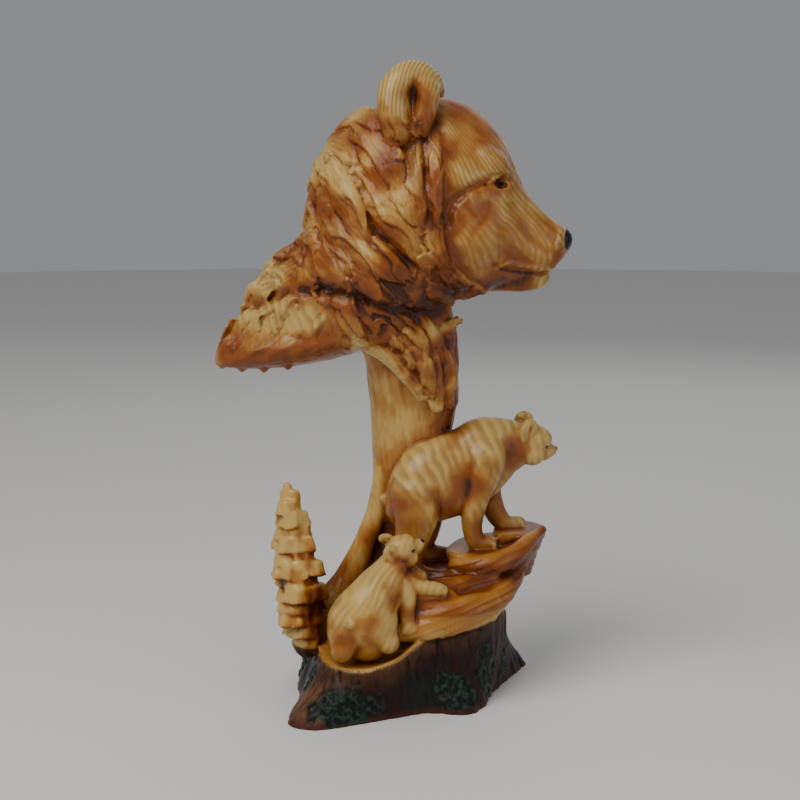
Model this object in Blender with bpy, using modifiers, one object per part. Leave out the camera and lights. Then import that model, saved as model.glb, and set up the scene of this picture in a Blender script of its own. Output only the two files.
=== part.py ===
"""A cast bear statue painted to look like carved wood, as one closed solid.

The bust of a bear stands on a leaning trunk. An adult bear, a climbing cub and a ragged pine stand round
the trunk's foot on stepped rock, and the rock lies on a rooted tree stump that is the statue's own plinth.

Each figure is drawn in millimetres on its own grid, with X along the statue's face, Y away from the side
that is looked at and Z up. Its driving dimension says how long the grid's known length is in metres.
"""

import math
import random

import bmesh
import bpy
import numpy as np
from mathutils import Euler, Matrix, Vector
from mathutils.bvhtree import BVHTree

# Driving dimensions, in metres
STUMP_WIDTH = 0.130  # across the roots, along X
STUMP_DEPTH = 0.140  # across the roots, along Y
STUMP_HEIGHT = 0.028  # foot to the lowest point of the rim
ROCK_HEIGHT = 0.058  # lowest point of the rim to the top ledge
TRUNK_HEIGHT = 0.162  # lowest point of the rim to where the bust sits on it
TRUNK_WIDTH = 0.046  # across the trunk under the bust
BUST_LENGTH = 0.187  # tip of the nose to the tip of the ruff
ADULT_LENGTH = 0.092  # rump to nose
CUB_HEIGHT = 0.060  # hind foot to the top of the head
PINE_HEIGHT = 0.080  # foot to tip
FOOT_TRIM = 0.0006  # cut off the casting's underside to make it flat

# How fine each figure is worked, in millimetres of its grid
BUST_GRAIN = 1.3
FIGURE_GRAIN = 0.8
ROCK_GRAIN = 1.4
CAST_GRAIN = 0.0010  # metres, over the whole casting
TRIANGLES = 9800

# What each grid's known length measures on the grid, and the grid point that is set on the carrier
STUMP_GRID = {"width": 130.0, "depth": 140.0, "height": 28.0}
ROCK_GRID_HEIGHT = 58.0
TRUNK_GRID = {"height": 162.0, "width": 46.0, "foot": 28.0}
BUST_GRID = {"length": 187.0, "seat": (0.0, 0.0, 190.0)}
ADULT_GRID = {"length": 92.0, "seat": (30.0, -6.0, 72.0)}
CUB_GRID = {"height": 60.0, "seat": (-20.0, -46.0, 34.0)}
PINE_GRID = {"height": 80.0, "seat": (-50.0, -28.0, 38.0)}

HEAD_TURN = -4.0  # degrees that the bust looks towards the near side
ADULT_TURN = 14.0  # degrees that the adult walks away from it

STAIN = {"colour": (0.62, 0.36, 0.13, 1.0), "roughness": 0.3, "metallic": 0.0}  # varnished honey brown

# Stump: angle from its middle in degrees, reach at the ground and at the rim, height of the rim
STUMP_MIDDLE = (5.0, -4.0)
STUMP_OUTLINE = (
    (-170, 60, 50, 9.0),
    (-155, 66, 53, 7.0),
    (-144, 78, 58, 4.0),
    (-134, 88, 62, 2.0),
    (-124, 84, 63, 0.5),
    (-112, 63, 60, 0.5),
    (-98, 50, 52, 4.5),
    (-78, 43, 40, 13.0),
    (-56, 54, 41, 16.0),
    (-38, 50, 43, 18.0),
    (-15, 45, 47, 20.0),
    (10, 52, 53, 16.0),
    (27, 68, 58, 12.0),
    (37, 83, 62, 12.0),
    (50, 68, 64, 16.0),
    (72, 58, 58, 20.0),
    (92, 66, 55, 20.0),
    (112, 60, 58, 20.0),
    (130, 78, 62, 20.0),
    (150, 66, 61, 17.0),
    (170, 62, 56, 12.0),
)

# Rock steps above the rim: height of the top, then the plan of its edge
ROCK_STEPS = (
    (
        46.0,
        (
            (-4, -32), (20, -38), (44, -30), (55, -8), (58, 20), (50, 42), (10, 46), (-40, 44), (-48, 8),
            (-20, -12),
        ),
    ),
    (
        54.5,
        (
            (2, -27), (24, -33), (46, -26), (59, -8), (62, 18), (52, 42), (16, 45), (-24, 40), (-26, 6),
            (-8, -10),
        ),
    ),
    (62.0, ((-2, -18), (18, -25), (44, -22), (62, -6), (66, 18), (56, 42), (18, 42), (-12, 34), (-14, 2))),
    (69.5, ((-4, -16), (16, -20), (42, -18), (64, -4), (71, 18), (60, 40), (24, 40), (-6, 28), (-8, -4))),
    (78.5, ((25, -13), (40, -20), (56, -16), (70, -4), (76, 16), (66, 34), (50, 38), (34, 26), (25, 4))),
    (86.0, ((50, -1), (60, -3), (74, 3), (80, 18), (72, 32), (60, 33), (51, 18))),
)

# Rounded ledges that run on from the steps towards the near side
ROCK_LEDGES = (
    (((4, -35, 50), 6.5), ((18, -38, 51), 7.5), ((34, -35, 53), 8.0), ((48, -25, 55), 7.0)),
    (((0, -40, 43), 6.0), ((16, -40, 45), 7.0), ((32, -35, 47), 7.0), ((46, -24, 50), 7.0)),
    (
        ((22, -33, 50), 7.0), ((36, -30, 52), 8.5), ((50, -21, 56), 8.0), ((59, -8, 62), 6.5),
        ((66, 4, 70), 4.5),
    ),
    (
        ((30, -14, 72), 5.0), ((44, -19, 73), 6.0), ((58, -14, 76), 6.0), ((69, -3, 82), 4.5),
        ((77, 8, 86), 2.8),
    ),
    (((-6, -22, 56), 6.0), ((10, -25, 60), 6.5), ((30, -24, 62), 6.5), ((48, -18, 65), 5.5)),
)

# Trunk: height, left edge, right edge, middle in Y, half depth
TRUNK_LEVELS = (
    (36, -44, 30, 16, 25),
    (50, -39, 22, 16, 22),
    (62, -32, 15, 16, 19),
    (78, -24, 12, 16, 17),
    (92, -19, 13, 15, 16),
    (112, -14.6, 19, 13, 15.5),
    (130, -15, 26, 11, 16),
    (156, -16, 30.5, 8, 16.5),
    (176, -18, 30, 5, 18),
    (196, -24, 29, 2, 22),
    (222, -34, 24, 0, 25),
)

TRUNK_ROOT = (
    ((-10, 4, 120), 4.0), ((-12, 2, 100), 5.5), ((-19, 0, 80), 6.5), ((-28, -2, 62), 7.5),
    ((-38, -6, 48), 9.0), ((-46, -12, 40), 9.0),
)

# Bust, drawn from the side. Head: place along X, floor, crown, half width, share of the height of its widest
HEAD_STATIONS = (
    (88.5, 239, 247.5, 6.0, 0.5),
    (85, 233, 250, 9.5, 0.45),
    (79, 227, 254.5, 12.0, 0.4),
    (72, 225, 261, 14.0, 0.38),
    (65, 223, 269.5, 16.5, 0.38),
    (60, 221, 281, 20.0, 0.42),
    (54, 219, 295, 25.0, 0.45),
    (46, 217, 305, 29.0, 0.42),
    (36, 216, 312.5, 32.5, 0.40),
    (24, 214, 316.5, 35.0, 0.40),
    (10, 212, 317, 36.0, 0.42),
    (-6, 214, 314, 35.0, 0.45),
    (-22, 222, 308, 32.0, 0.5),
    (-36, 236, 297, 25.0, 0.5),
    (-46, 255, 280, 12.0, 0.5),
)
# Neck and ruff: height, back, front, half width, share of the length where it is widest
NECK_LEVELS = (
    (307, -22, 12, 18, 0.5),
    (298, -34, 18, 27, 0.55),
    (282, -44, 22, 33, 0.6),
    (266, -48, 25, 36, 0.6),
    (250, -50, 27, 38, 0.6),
    (240, -55, 29, 39, 0.62),
    (228, -68, 30, 39, 0.64),
    (216, -78, 29, 37, 0.66),
    (206, -85, 22, 34, 0.66),
    (195, -91, 18, 30, 0.66),
    (187, -95.5, -12, 27, 0.6),
    (180, -99, -34, 22, 0.55),
    (175.5, -99, -58, 13, 0.5),
)
# Masses that stand out of the head: middle, radii, turn about Y in degrees. Those off the middle are mirrored
HEAD_MASSES = (
    ((46, -17, 284), (13, 9, 7.5), 34),  # brow
    ((34, -23, 246), (20, 12, 18), 0),  # cheek
    ((69, -7.5, 234.5), (13, 7, 9), -10),  # upper lip
    ((64, 0, 258), (22, 7, 6), 40),  # bridge of the muzzle
    ((85.5, 0, 243.2), (4.6, 8.0, 6.6), 0),  # nose pad
)
LOWER_JAW = (
    ((26, 0, 226), 12.0), ((44, 0, 225), 9.5), ((60, 0, 223.5), 8.0), ((71, 0, 222.5), 6.0),
    ((75, 0, 223), 4.0),
)
EYE_SOCKET = {"at": (53, -20, 272), "radii": (4.5, 4.5, 3.2), "towards": (-0.3, 1.0, 0.0)}

# Lines pressed into the bust, as seen from the side: points, half width and depth
CREASE = (((-86, 203), (-72, 211), (-50, 217), (-30, 219), (-10, 214), (8, 206), (26, 198)), 5.5, 3.5)
CHEEK_LINE = (((21, 302), (26, 284), (25, 266), (27, 248), (31, 234), (40, 222)), 3.5, 1.5)
BROW_LINE = (((55, 275), (50, 275), (44, 273.5), (38, 270.5), (32, 266.5), (28, 261), (26, 254)), 4.2, 2.6)
MOUTH_LINE = (((50, 232), (56, 228.5), (63, 227), (72, 226), (80, 227)), 1.8, 1.6)
FACE_LINES = (BROW_LINE, MOUTH_LINE)

# The lie of the fur, as seen from the side: place and direction
FUR = (
    ((-30, 305), (0.75, -0.66)),
    ((-45, 275), (0.6, -0.8)),
    ((-52, 250), (0.8, -0.6)),
    ((-20, 265), (0.65, -0.76)),
    ((-8, 292), (0.5, -0.87)),
    ((0, 240), (0.75, -0.66)),
    ((-30, 232), (0.85, -0.52)),
    ((14, 285), (0.05, -1.0)),
    ((17, 255), (0.12, -1.0)),
    ((27, 230), (0.6, -0.8)),
    ((15, 212), (0.9, -0.4)),
    ((-62, 236), (-0.5, -0.86)),
    ((-76, 218), (-0.75, -0.66)),
    ((-42, 208), (-0.8, -0.6)),
    ((-86, 195), (-0.7, -0.7)),
    ((-55, 190), (-0.65, -0.76)),
    ((-16, 200), (0.5, -0.86)),
    ((5, 195), (0.7, -0.7)),
    ((20, 180), (0.4, -0.92)),
    ((25, 160), (0.0, -1.0)),
)

# Locks of the bust: first and last root in the side view, how many, length, width and thickness
NECK_ROWS = (
    ((-24, 303), (-46, 272), 3, 58, 17, 8.5),
    ((-10, 294), (-46, 250), 4, 60, 16, 9.0),
    ((2, 276), (-30, 238), 4, 44, 13, 8.0),
    ((8, 294), (11, 262), 3, 44, 10, 8.0),
    ((18, 298), (18, 250), 4, 36, 8, 6.5),
    ((21, 240), (32, 226), 3, 24, 8, 6.0),
    ((-56, 240), (-36, 226), 3, 46, 14, 6.0),
)
RUFF_ROWS = (
    ((-50, 236), (-72, 224), 3, 44, 20, 3.4),
    ((-24, 212), (-70, 212), 4, 44, 19, 3.2),
)
NAPE_ROWS = (
    ((-14, 300), (14, 300), 3, 50, 15, 7.5),
    ((-20, 272), (20, 270), 4, 50, 14, 7.5),
    ((-16, 244), (16, 242), 3, 42, 13, 7.0),
)
# Ragged tufts along the ruff's lower edge: root, drop of the tip, thickness
TUFTS = (
    ((-91, 5, 182), 6, 6.0),
    ((-80, 9, 181), 6, 7.0),
    ((-68, 11, 183), 8, 7.0),
    ((-55, 14, 186), 9, 7.5),
    ((-43, 16, 190), 8, 8.0),
    ((-31, 18, 194), 7, 7.5),
)
COLLAR_FOLDS = (
    (
        ((-26, -12, 202), 6.0), ((-18, -17, 194), 6.5), ((-5, -18, 186), 6.5), ((6, -16, 174), 6.0),
        ((12, -14, 163), 3.5),
    ),
    (
        ((-14, -18, 206), 8.0), ((0, -20, 198), 8.0), ((11, -18, 186), 7.5), ((17, -14, 172), 7.0),
        ((20, -11, 157), 4.0),
    ),
    (
        ((2, -18, 206), 7.5), ((14, -15, 198), 6.5), ((20, -11, 186), 5.5), ((23, -8, 172), 5.0),
        ((26, -6, 157), 3.0),
    ),
)
COLLAR_ROWS = (
    ((-12, 204), (18, 204), 3, 30, 10, 4.0),
    ((-6, 192), (22, 186), 3, 28, 9, 4.0),
)
JAW_TUFTS = (
    (((24, -25, 232), 8.0), ((30, -20, 224), 6.5), ((35, -13, 215), 2.0)),
    (((12, -27, 226), 8.0), ((20, -23, 219), 6.5), ((27, -17, 212), 2.5)),
)
COLLAR_SPUR = (((0, -12, 203), 7.0), ((16, -10, 199), 5.5), ((25, -8, 198), 4.0), ((31, -7, 201), 2.6))

# Adult: place along X, belly, back, half width, share of the height where it is widest
ADULT_STATIONS = (
    (-7, 98, 109, 5.0, 0.5),
    (-3, 92, 121, 10.0, 0.5),
    (3, 90, 130.5, 13.5, 0.5),
    (11, 90, 136.5, 15.0, 0.5),
    (21, 93, 140, 15.5, 0.45),
    (30, 95, 142, 15.0, 0.45),
    (38, 97, 146.5, 14.5, 0.5),
    (46, 101, 148.5, 13.5, 0.5),
    (53, 106, 148, 12.0, 0.5),
    (59, 112, 147, 10.0, 0.5),
    (64, 118, 146, 9.5, 0.5),
    (70, 122, 144, 9.0, 0.5),
)
ADULT_LEGS = (
    (
        ((7, -7, 110), 13.5), ((7, -9, 99), 12.5), ((5, -10, 89), 9.8), ((3, -10, 80), 8.0),
        ((4, -10, 71), 6.6), ((9, -10, 67), 5.6), ((14, -10, 66), 4.4),
    ),
    (
        ((13, 7, 106), 12.0), ((17, 8, 95), 9.6), ((17, 8, 86), 7.2), ((15, 8, 78), 6.0), ((20, 8, 74), 5.2),
        ((27, 8, 73), 4.2),
    ),
    (
        ((45, -6, 128), 12.0), ((42, -8, 117), 10.5), ((39.5, -9, 107), 7.8), ((38, -9, 97), 6.2),
        ((38, -9, 89), 5.4), ((41, -9, 82.5), 5.2), ((47.5, -9, 81.5), 4.2),
    ),
    (
        ((51, 6, 120), 10.0), ((51, 7, 108), 7.8), ((54, 7, 98), 6.4), ((58, 7, 91), 5.6), ((62, 7, 88), 4.8),
        ((69, 7, 88), 3.9),
    ),
)
ADULT_HEAD = {"at": (73.2, 0, 133.6), "size": 1.1, "pitch": -12.0, "turn": -2.0, "roll": 14.0}

CUB_BODY = (
    ((-17, -43, 41), 13.0), ((-21, -45, 50), 16.0), ((-16, -46, 58), 15.0), ((-9, -42, 68), 12.5),
    ((-4, -38, 76), 9.0), ((0, -36, 83), 6.5),
)
CUB_LIMBS = (
    (((-26, -48, 51), 11.5), ((-28, -51, 43), 10.0), ((-29.5, -55, 37), 6.0)),
    (((-14, -47, 52), 13.0), ((-10, -49, 45), 11.0), ((-6, -51, 40), 6.0)),
    (((-4, -40, 72), 7.5), ((3, -42, 62), 5.6), ((4, -42, 53), 4.6), ((5, -43, 47), 4.2)),
    (((-2, -38, 72), 6.5), ((8, -38, 66), 4.8), ((19, -39, 65), 4.0), ((22, -39, 64.5), 3.2)),
    (((-2, -33, 78), 6.0), ((6, -33, 72), 4.6), ((11, -34, 70), 3.6)),
)
CUB_HEAD = {"at": (1.0, -37, 85.5), "size": 0.88, "pitch": 28.0, "turn": -6.0, "roll": 40.0}
CUB_PERCH = (((2, -34, 56), 7.5), ((14, -35, 57), 7.5), ((25, -33, 57), 6.5))

# A small bear's head with its nose along +X: middle and radii. Those off the middle are mirrored
SMALL_HEAD_MASSES = (
    ((-0.5, 0, 0.8), (9.6, 8.6, 9.0)),  # skull
    ((4.4, 0, 3.0), (5.4, 6.4, 5.0)),  # forehead
    ((0.6, -5.0, -4.4), (6.4, 4.6, 5.6)),  # cheek
    ((7.8, 0, -2.6), (6.0, 4.2, 4.0)),  # muzzle
    ((6.2, 0, -5.8), (5.4, 3.5, 2.6)),  # jaw
    ((6.4, -3.4, 2.0), (2.6, 2.2, 1.6)),  # brow
    ((12.9, 0, -1.0), (1.5, 1.9, 1.6)),  # nose
)
# Ears: a rolled rim, the lobe inside it and the wall behind them, as (point, radius) about the ear's place
EAR_RIM = (
    ((-5, 0.5, -17), 7.2), ((-7.2, -1.5, -6), 8.6), ((-6.4, -1.5, 5), 8.2), ((0, 0.0, 12.0), 6.8),
    ((7.5, 3.0, 12.6), 5.8), ((12, 5.0, 6), 4.4),
)
EAR_LOBE = (((5.0, 2.0, 10), 6.4), ((9.2, 2.0, 4), 6.6), ((8.6, 2.5, -5), 6.2), ((5.0, 4.0, -15), 6.0))
EAR_BACK = (((2, 5.5, 6), 6.0), ((3, 6.0, -6), 6.0), ((3, 5.0, -16), 6.0))
BUST_EAR = {"at": (6.0, -27.5, 315.5), "scale": 1.0, "tilt": -12.0}
SMALL_EAR = {"at": (-5.2, -6.0, 8.6), "scale": 0.27, "tilt": -14.0}

# Pine: height and reach of each tier of branches, foot to tip
PINE_TIERS = (
    (42, 11), (48.5, 13), (55, 12.5), (61, 13.5), (67.5, 11.5), (74, 13), (80.5, 11), (87, 12), (93.5, 9),
    (100, 9.5), (106, 7), (111, 5.5),
)
PINE_TIP = (-58.5, -28, 118)
PINE_CORE = (((-48, -26, 34), 8.5), ((-51, -28, 60), 9.0), ((-56, -28, 95), 7.0), ((-58.5, -28, 117), 2.4))


def shape(*meshes):
    """A bmesh to model in, with the given meshes in it."""
    form = bmesh.new()
    for mesh in meshes:
        form.from_mesh(mesh)
    return form


def ball(form, middle, radii, turn=(0.0, 0.0, 0.0)):
    """Adds an ellipsoid, turned by Euler angles in degrees."""
    spin = Euler([math.radians(a) for a in turn]).to_matrix().to_4x4()
    matrix = Matrix.Translation(middle) @ spin @ Matrix.Diagonal((*radii, 1.0))
    ball_form = bmesh.new()
    bmesh.ops.create_uvsphere(ball_form, u_segments=24, v_segments=16, radius=1.0, matrix=matrix)
    mesh = bpy.data.meshes.new("ball")
    ball_form.to_mesh(mesh)
    ball_form.free()
    form.from_mesh(mesh)
    bpy.data.meshes.remove(mesh)


def limb(form, path):
    """Adds a tapered tube along a smooth path of (point, radius), with round ends."""
    curve = bpy.data.curves.new("limb", "CURVE")
    curve.dimensions = "3D"
    curve.bevel_depth = 1.0
    curve.bevel_resolution = 4
    curve.resolution_u = 6
    curve.use_fill_caps = True
    spline = curve.splines.new("BEZIER")
    spline.bezier_points.add(len(path) - 1)
    for point, (place, radius) in zip(spline.bezier_points, path):
        point.co = place
        point.radius = radius
        point.handle_left_type = point.handle_right_type = "AUTO"
    tube = bpy.data.objects.new("limb", curve)
    form.from_mesh(evaluated(tube))
    for place, radius in (path[0], path[-1]):
        ball(form, place, (radius, radius, radius))


def evaluated(thing):
    """The mesh that an object comes to with its modifiers. Removes the object."""
    bpy.context.scene.collection.objects.link(thing)
    graph = bpy.context.evaluated_depsgraph_get()
    mesh = bpy.data.meshes.new_from_object(thing.evaluated_get(graph))
    bpy.data.objects.remove(thing)
    return mesh


def loft(form, rings):
    """Adds a closed body through rings of equally many points, with flat ends."""
    loops = [[form.verts.new(p) for p in ring] for ring in rings]
    for lower, upper in zip(loops, loops[1:]):
        for i, corner in enumerate(lower):
            form.faces.new((lower[i - 1], corner, upper[i], upper[i - 1]))
    form.faces.new(reversed(loops[0]))
    form.faces.new(loops[-1])


def section(low, high, half, widest, count=28):
    """Points round an egg-shaped section, (place from low to high, sideways), its widest place as a share."""
    skew = math.log(widest) / math.log(0.5)
    points = []
    for i in range(count):
        angle = 2 * math.pi * i / count
        share = (1 - math.cos(angle)) / 2
        points.append((low + (high - low) * share**skew, half * math.sin(angle)))
    return points


def upright_loft(form, levels):
    """Adds a body through level sections: (height, back, front, half width, widest)."""
    loft(form, [[(x, y, z) for x, y in section(x0, x1, half, widest)] for z, x0, x1, half, widest in levels])


def long_loft(form, stations):
    """Adds a body through upright sections: (x, floor, crown, half width, widest)."""
    loft(
        form, [[(x, y, z) for z, y in section(z0, z1, half, widest)] for x, z0, z1, half, widest in stations],
    )


def mirrored(form, masses):
    """Adds each ellipsoid of (middle, radii, turn about Y), and its mirror image if it is off the middle."""
    for middle, radii, *turn in masses:
        x, y, z = middle
        for side in sorted({y, -y}):
            ball(form, (x, side, z), radii, (0.0, turn[0] if turn else 0.0, 0.0))


def clay(form, grain, softness):
    """Fuses everything in the form into one skin of even faces, blurred over a length. Frees the form."""
    mesh = bpy.data.meshes.new("clay")
    bmesh.ops.recalc_face_normals(form, faces=form.faces)
    form.to_mesh(mesh)
    form.free()
    lump = bpy.data.objects.new("clay", mesh)
    remesh = lump.modifiers.new("Remesh", "REMESH")
    remesh.mode = "VOXEL"
    remesh.voxel_size = grain
    if softness:
        smooth = lump.modifiers.new("Smooth", "SMOOTH")
        smooth.factor = 0.5
        smooth.iterations = max(1, round((2 * softness / grain) ** 2))
    return evaluated(lump)


def points_of(mesh):
    """The mesh's points as an array."""
    points = np.empty(3 * len(mesh.vertices))
    mesh.vertices.foreach_get("co", points)
    return points.reshape(-1, 3)


def normals_of(mesh):
    """The mesh's point normals as an array."""
    normals = np.empty(3 * len(mesh.vertices))
    mesh.vertex_normals.foreach_get("vector", normals)
    return normals.reshape(-1, 3)


def set_points(mesh, points):
    """Moves the mesh's points."""
    mesh.vertices.foreach_set("co", points.ravel())
    mesh.update()


def scoop(mesh, middle, radii, towards):
    """Presses an ellipsoid into the mesh: points inside it move along a direction to its far side."""
    to_unit = np.diag([1 / r for r in radii])
    points = points_of(mesh)
    inside = (points - middle) @ to_unit.T
    step = to_unit @ np.array(towards)
    depth = 1 - (inside**2).sum(axis=1)
    along = inside @ step
    reach = np.sqrt(np.maximum(along**2 + (step @ step) * depth, 0.0)) - along
    points += np.outer(np.where(depth > 0, reach, 0.0) / (step @ step), towards)
    set_points(mesh, points)


def groove(mesh, line, side):
    """Presses a line of the side view into one side of the mesh."""
    places, half, depth = line
    path = np.array([(p.x, p.z) for p in smooth_path([Vector((x, 0, z)) for x, z in places], 40)])
    points, normals = points_of(mesh), normals_of(mesh)
    reach = np.full(len(points), np.inf)
    for place in path:
        reach = np.minimum(reach, ((points[:, ::2] - place) ** 2).sum(axis=1))
    press = depth * np.clip(1 - reach / (half * half), 0.0, 1.0) ** 2
    press *= np.clip(2 * normals[:, 1] * side, 0.0, 1.0) * (points[:, 1] * side > 0)
    set_points(mesh, points - normals * press[:, None])


def ear(form, spec, side):
    """Adds one cupped ear on the side given by side's sign: a rolled rim, a lobe and the wall behind them."""
    x, y, z = spec["at"]
    size = spec["scale"]
    tilt = Matrix.Rotation(math.radians(-side * spec["tilt"]), 3, "X")
    for path in (EAR_RIM, EAR_LOBE, EAR_BACK):
        placed = []
        for (a, b, c), radius in path:
            spot = Vector((x, -side * y, z)) + tilt @ Vector((a, -side * b, c)) * size
            placed.append((spot, radius * size))
        limb(form, placed)


def skin_of(mesh):
    """A tree that finds the nearest point and the first point along a ray on the mesh."""
    form = shape(mesh)
    skin = BVHTree.FromBMesh(form)
    form.free()
    return skin


def lie_of_fur(place):
    """The direction of the fur at a point of the bust."""
    flow = Vector((0, 0, 0))
    for (x, z), (dx, dz) in FUR:
        near = (place.x - x) ** 2 + (place.z - z) ** 2 + 4
        flow += Vector((dx, 0, dz)) / near**2
    return flow.normalized()


def lock(form, skin, root, length, width, thickness, bend):
    """Adds one pointed lock that follows the fur over the skin and stands proud towards its tip."""
    steps = 12
    rings = []
    place = root
    for i in range(steps):
        share = i / (steps - 1)
        near, normal, _, _ = skin.find_nearest(place)
        flow = lie_of_fur(near)
        flow.rotate(Euler((0.0, bend * (share - 0.3), 0.0)))
        flow = (flow - normal * flow.dot(normal)).normalized()
        across = normal.cross(flow)
        fullness = max(0.05, math.sin(math.pi * (0.14 + 0.86 * share) ** 0.85) ** 0.8)
        top = thickness * (0.1 + 0.9 * share) * min(1.0, 1.3 * fullness)
        base = 0.25 * thickness
        middle = near + normal * (top - base) / 2
        half = across * width / 2 * fullness
        rise = normal * (top + base) / 2
        ring = []
        for a in np.linspace(0, 2 * math.pi, 17)[:-1]:
            c, s = math.cos(a), math.sin(a)
            ring.append(
                middle + half * math.copysign(
                    abs(c) ** 0.7, c,
                ) + rise * math.copysign(abs(s) ** 0.6, s) * (1 + 0.35 * c)
            )
        rings.append(ring)
        place = near + flow * length / (steps - 1)
    loft(form, rings)


def lock_rows(form, skin, rows, look, seed):
    """Adds rows of locks where rays along the look from points between each row's ends meet the skin."""
    draw = random.Random(seed)
    for first, last, count, length, width, thickness in rows:
        for i in range(round(count)):
            share = (i + draw.uniform(-0.15, 0.15)) / max(1, count - 1)
            u, z = Vector(first).lerp(Vector(last), share)
            place = Vector((u * abs(look.y), u * abs(look.x), z + draw.uniform(-2, 2)))
            hit = skin.ray_cast(place - look * 200, look)[0]
            if hit is None:
                continue
            size = draw.uniform(0.85, 1.15)
            bend = draw.uniform(-0.35, 0.35)
            lock(form, skin, hit, length * size, width * draw.uniform(0.9, 1.15), thickness, bend)


def smooth_loop(points, count):
    """Points round a closed curve through the given ones (Catmull-Rom)."""
    total = len(points)
    return [between(points, i * total / count) for i in range(count)]


def smooth_path(points, count):
    """Points along an open curve through the given ones (Catmull-Rom)."""
    ends = [2 * points[-1] - points[-2], 2 * points[0] - points[1]]
    return [between(points + ends, i * (len(points) - 1) / (count - 1)) for i in range(count)]


def between(points, place):
    """The point at a place along the closed curve through the given points."""
    total = len(points)
    k, t = int(place), place % 1.0
    a, b, c, d = (points[(k + j) % total] for j in (-1, 0, 1, 2))
    return 0.5 * (2 * b + (c - a) * t + (2 * a - 5 * b + 4 * c - d) * t**2 + (3 * b - a - 3 * c + d) * t**3)


def stump():
    """The rooted stump, its side hollow between the roots and its rim rising and falling."""
    form = shape()
    mid = Vector((*STUMP_MIDDLE, 0.0))
    ground, rim = [], []
    for angle, low, high, lift in STUMP_OUTLINE:
        way = Vector((math.cos(math.radians(angle)), math.sin(math.radians(angle)), 0.0))
        ground.append(mid + way * low)
        rim.append(mid + way * high + Vector((0, 0, STUMP_GRID["height"] + lift)))
    low, high = smooth_loop(ground, 120), smooth_loop(rim, 120)
    rings = []
    for rise in np.linspace(0.0, 1.0, 9):
        flare = (1 - rise) ** 1.8
        ring = []
        for g, r in zip(low, high):
            point = r.lerp(g, flare)
            point.z = r.z * rise
            ring.append(point)
        rings.append(ring)
    for inward, drop in ((0.92, 0.1), (0.84, 1.2), (0.7, 1.0)):
        rings.append([mid.lerp(r, inward) * Vector((1, 1, 0)) + Vector((0, 0, r.z - drop)) for r in high])
    rings.append([Vector((*mid.lerp(r, 0.3).xy, 41.0)) for r in high])
    loft(form, rings)
    return clay(form, ROCK_GRAIN, 1.0)


def rock():
    """Worn steps of rock, each a rounded slab with an undercut edge."""
    form = shape()
    for top, plan in ROCK_STEPS:
        edge = smooth_loop([Vector((x, y, 0.0)) for x, y in plan], 64)
        mid = sum(edge, Vector()) / len(edge)
        rings = []
        for height, inset in (
            (-26, 0.5), (-15, 0.3), (-8, 0.12), (-3.5, 0.01), (-1, 0.01), (0, 0.08), (0.4, 0.4),
        ):
            rings.append(
                [p.lerp(mid, inset) + Vector((0, 0, max(top + height, 14.0) + 0.01 * height)) for p in edge]
            )
        loft(form, rings)
    for ledge in (CUB_PERCH, *ROCK_LEDGES):
        limb(form, ledge)
    return clay(form, ROCK_GRAIN, 1.5)


def trunk():
    """The leaning trunk, with a root along its left edge."""
    form = shape()
    rings = []
    for z, x0, x1, y, half in TRUNK_LEVELS:
        ring = section(x0, x1, half, 0.5, 32)
        rings.append([(a, y + math.copysign(abs(b / half) ** 0.8, b) * half, z) for a, b in ring])
    loft(form, rings)
    limb(form, TRUNK_ROOT)
    return clay(form, ROCK_GRAIN, 1.5)


def bust_core():
    """Head and neck as one smooth mass, before the locks."""
    form = shape()
    long_loft(form, HEAD_STATIONS)
    upright_loft(form, NECK_LEVELS)
    mirrored(form, HEAD_MASSES)
    limb(form, LOWER_JAW)
    mesh = clay(form, BUST_GRAIN, 2.2)
    x, y, z = EYE_SOCKET["at"]
    dx, dy, dz = EYE_SOCKET["towards"]
    for side in (-1, 1):
        scoop(mesh, (x, -side * y, z), EYE_SOCKET["radii"], (dx, -side * dy, dz))
        groove(mesh, CREASE, side)
        for line in FACE_LINES:
            groove(mesh, line, side)
    return mesh


def bust():
    """The bear's head and shaggy neck, with the ruff that sweeps down behind."""
    core = bust_core()
    skin = skin_of(core)
    form = shape(core)
    for side in (-1, 1):
        ear(form, BUST_EAR, side)
        look = Vector((0, -side, 0))
        lock_rows(form, skin, NECK_ROWS, look, 4 - side)
        lock_rows(form, skin, RUFF_ROWS, look, 9 - side)
        for (x, y, z), drop, radius in TUFTS:
            limb(
                form,
                (
                    ((x + 3, side * y, z + 5), radius), ((x, side * y, z), radius),
                    ((x - 3, side * y, z - drop), 2.0),
                ),
            )
        for fold in COLLAR_FOLDS + JAW_TUFTS:
            limb(form, [((x, -side * y, z), radius) for (x, y, z), radius in fold])
    lock_rows(form, skin, NAPE_ROWS, Vector((1, 0, 0)), 13)
    limb(form, COLLAR_SPUR)
    mesh = clay(form, BUST_GRAIN, 0.8)
    skin, form = skin_of(mesh), shape(mesh)
    for side in (-1, 1):
        lock_rows(form, skin, COLLAR_ROWS, Vector((0, -side, 0)), 21 - side)
    mesh = clay(form, BUST_GRAIN, 0.0)
    for side in (-1, 1):
        groove(mesh, CHEEK_LINE, side)
    return mesh


def head_place(spec):
    """The matrix that sets a small head on its figure."""
    aim = Euler([math.radians(a) for a in (spec["roll"], -spec["pitch"], spec["turn"])])
    return Matrix.Translation(spec["at"]) @ aim.to_matrix().to_4x4() @ Matrix.Scale(spec["size"], 4)


def small_head(spec):
    """A small bear's head, set on a figure."""
    form = shape()
    mirrored(form, SMALL_HEAD_MASSES)
    form = shape(clay(form, 0.6, 0.4))
    for side in (-1, 1):
        ear(form, SMALL_EAR, side)
    form.transform(head_place(spec))
    mesh = bpy.data.meshes.new("head")
    form.to_mesh(mesh)
    form.free()
    return mesh


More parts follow.
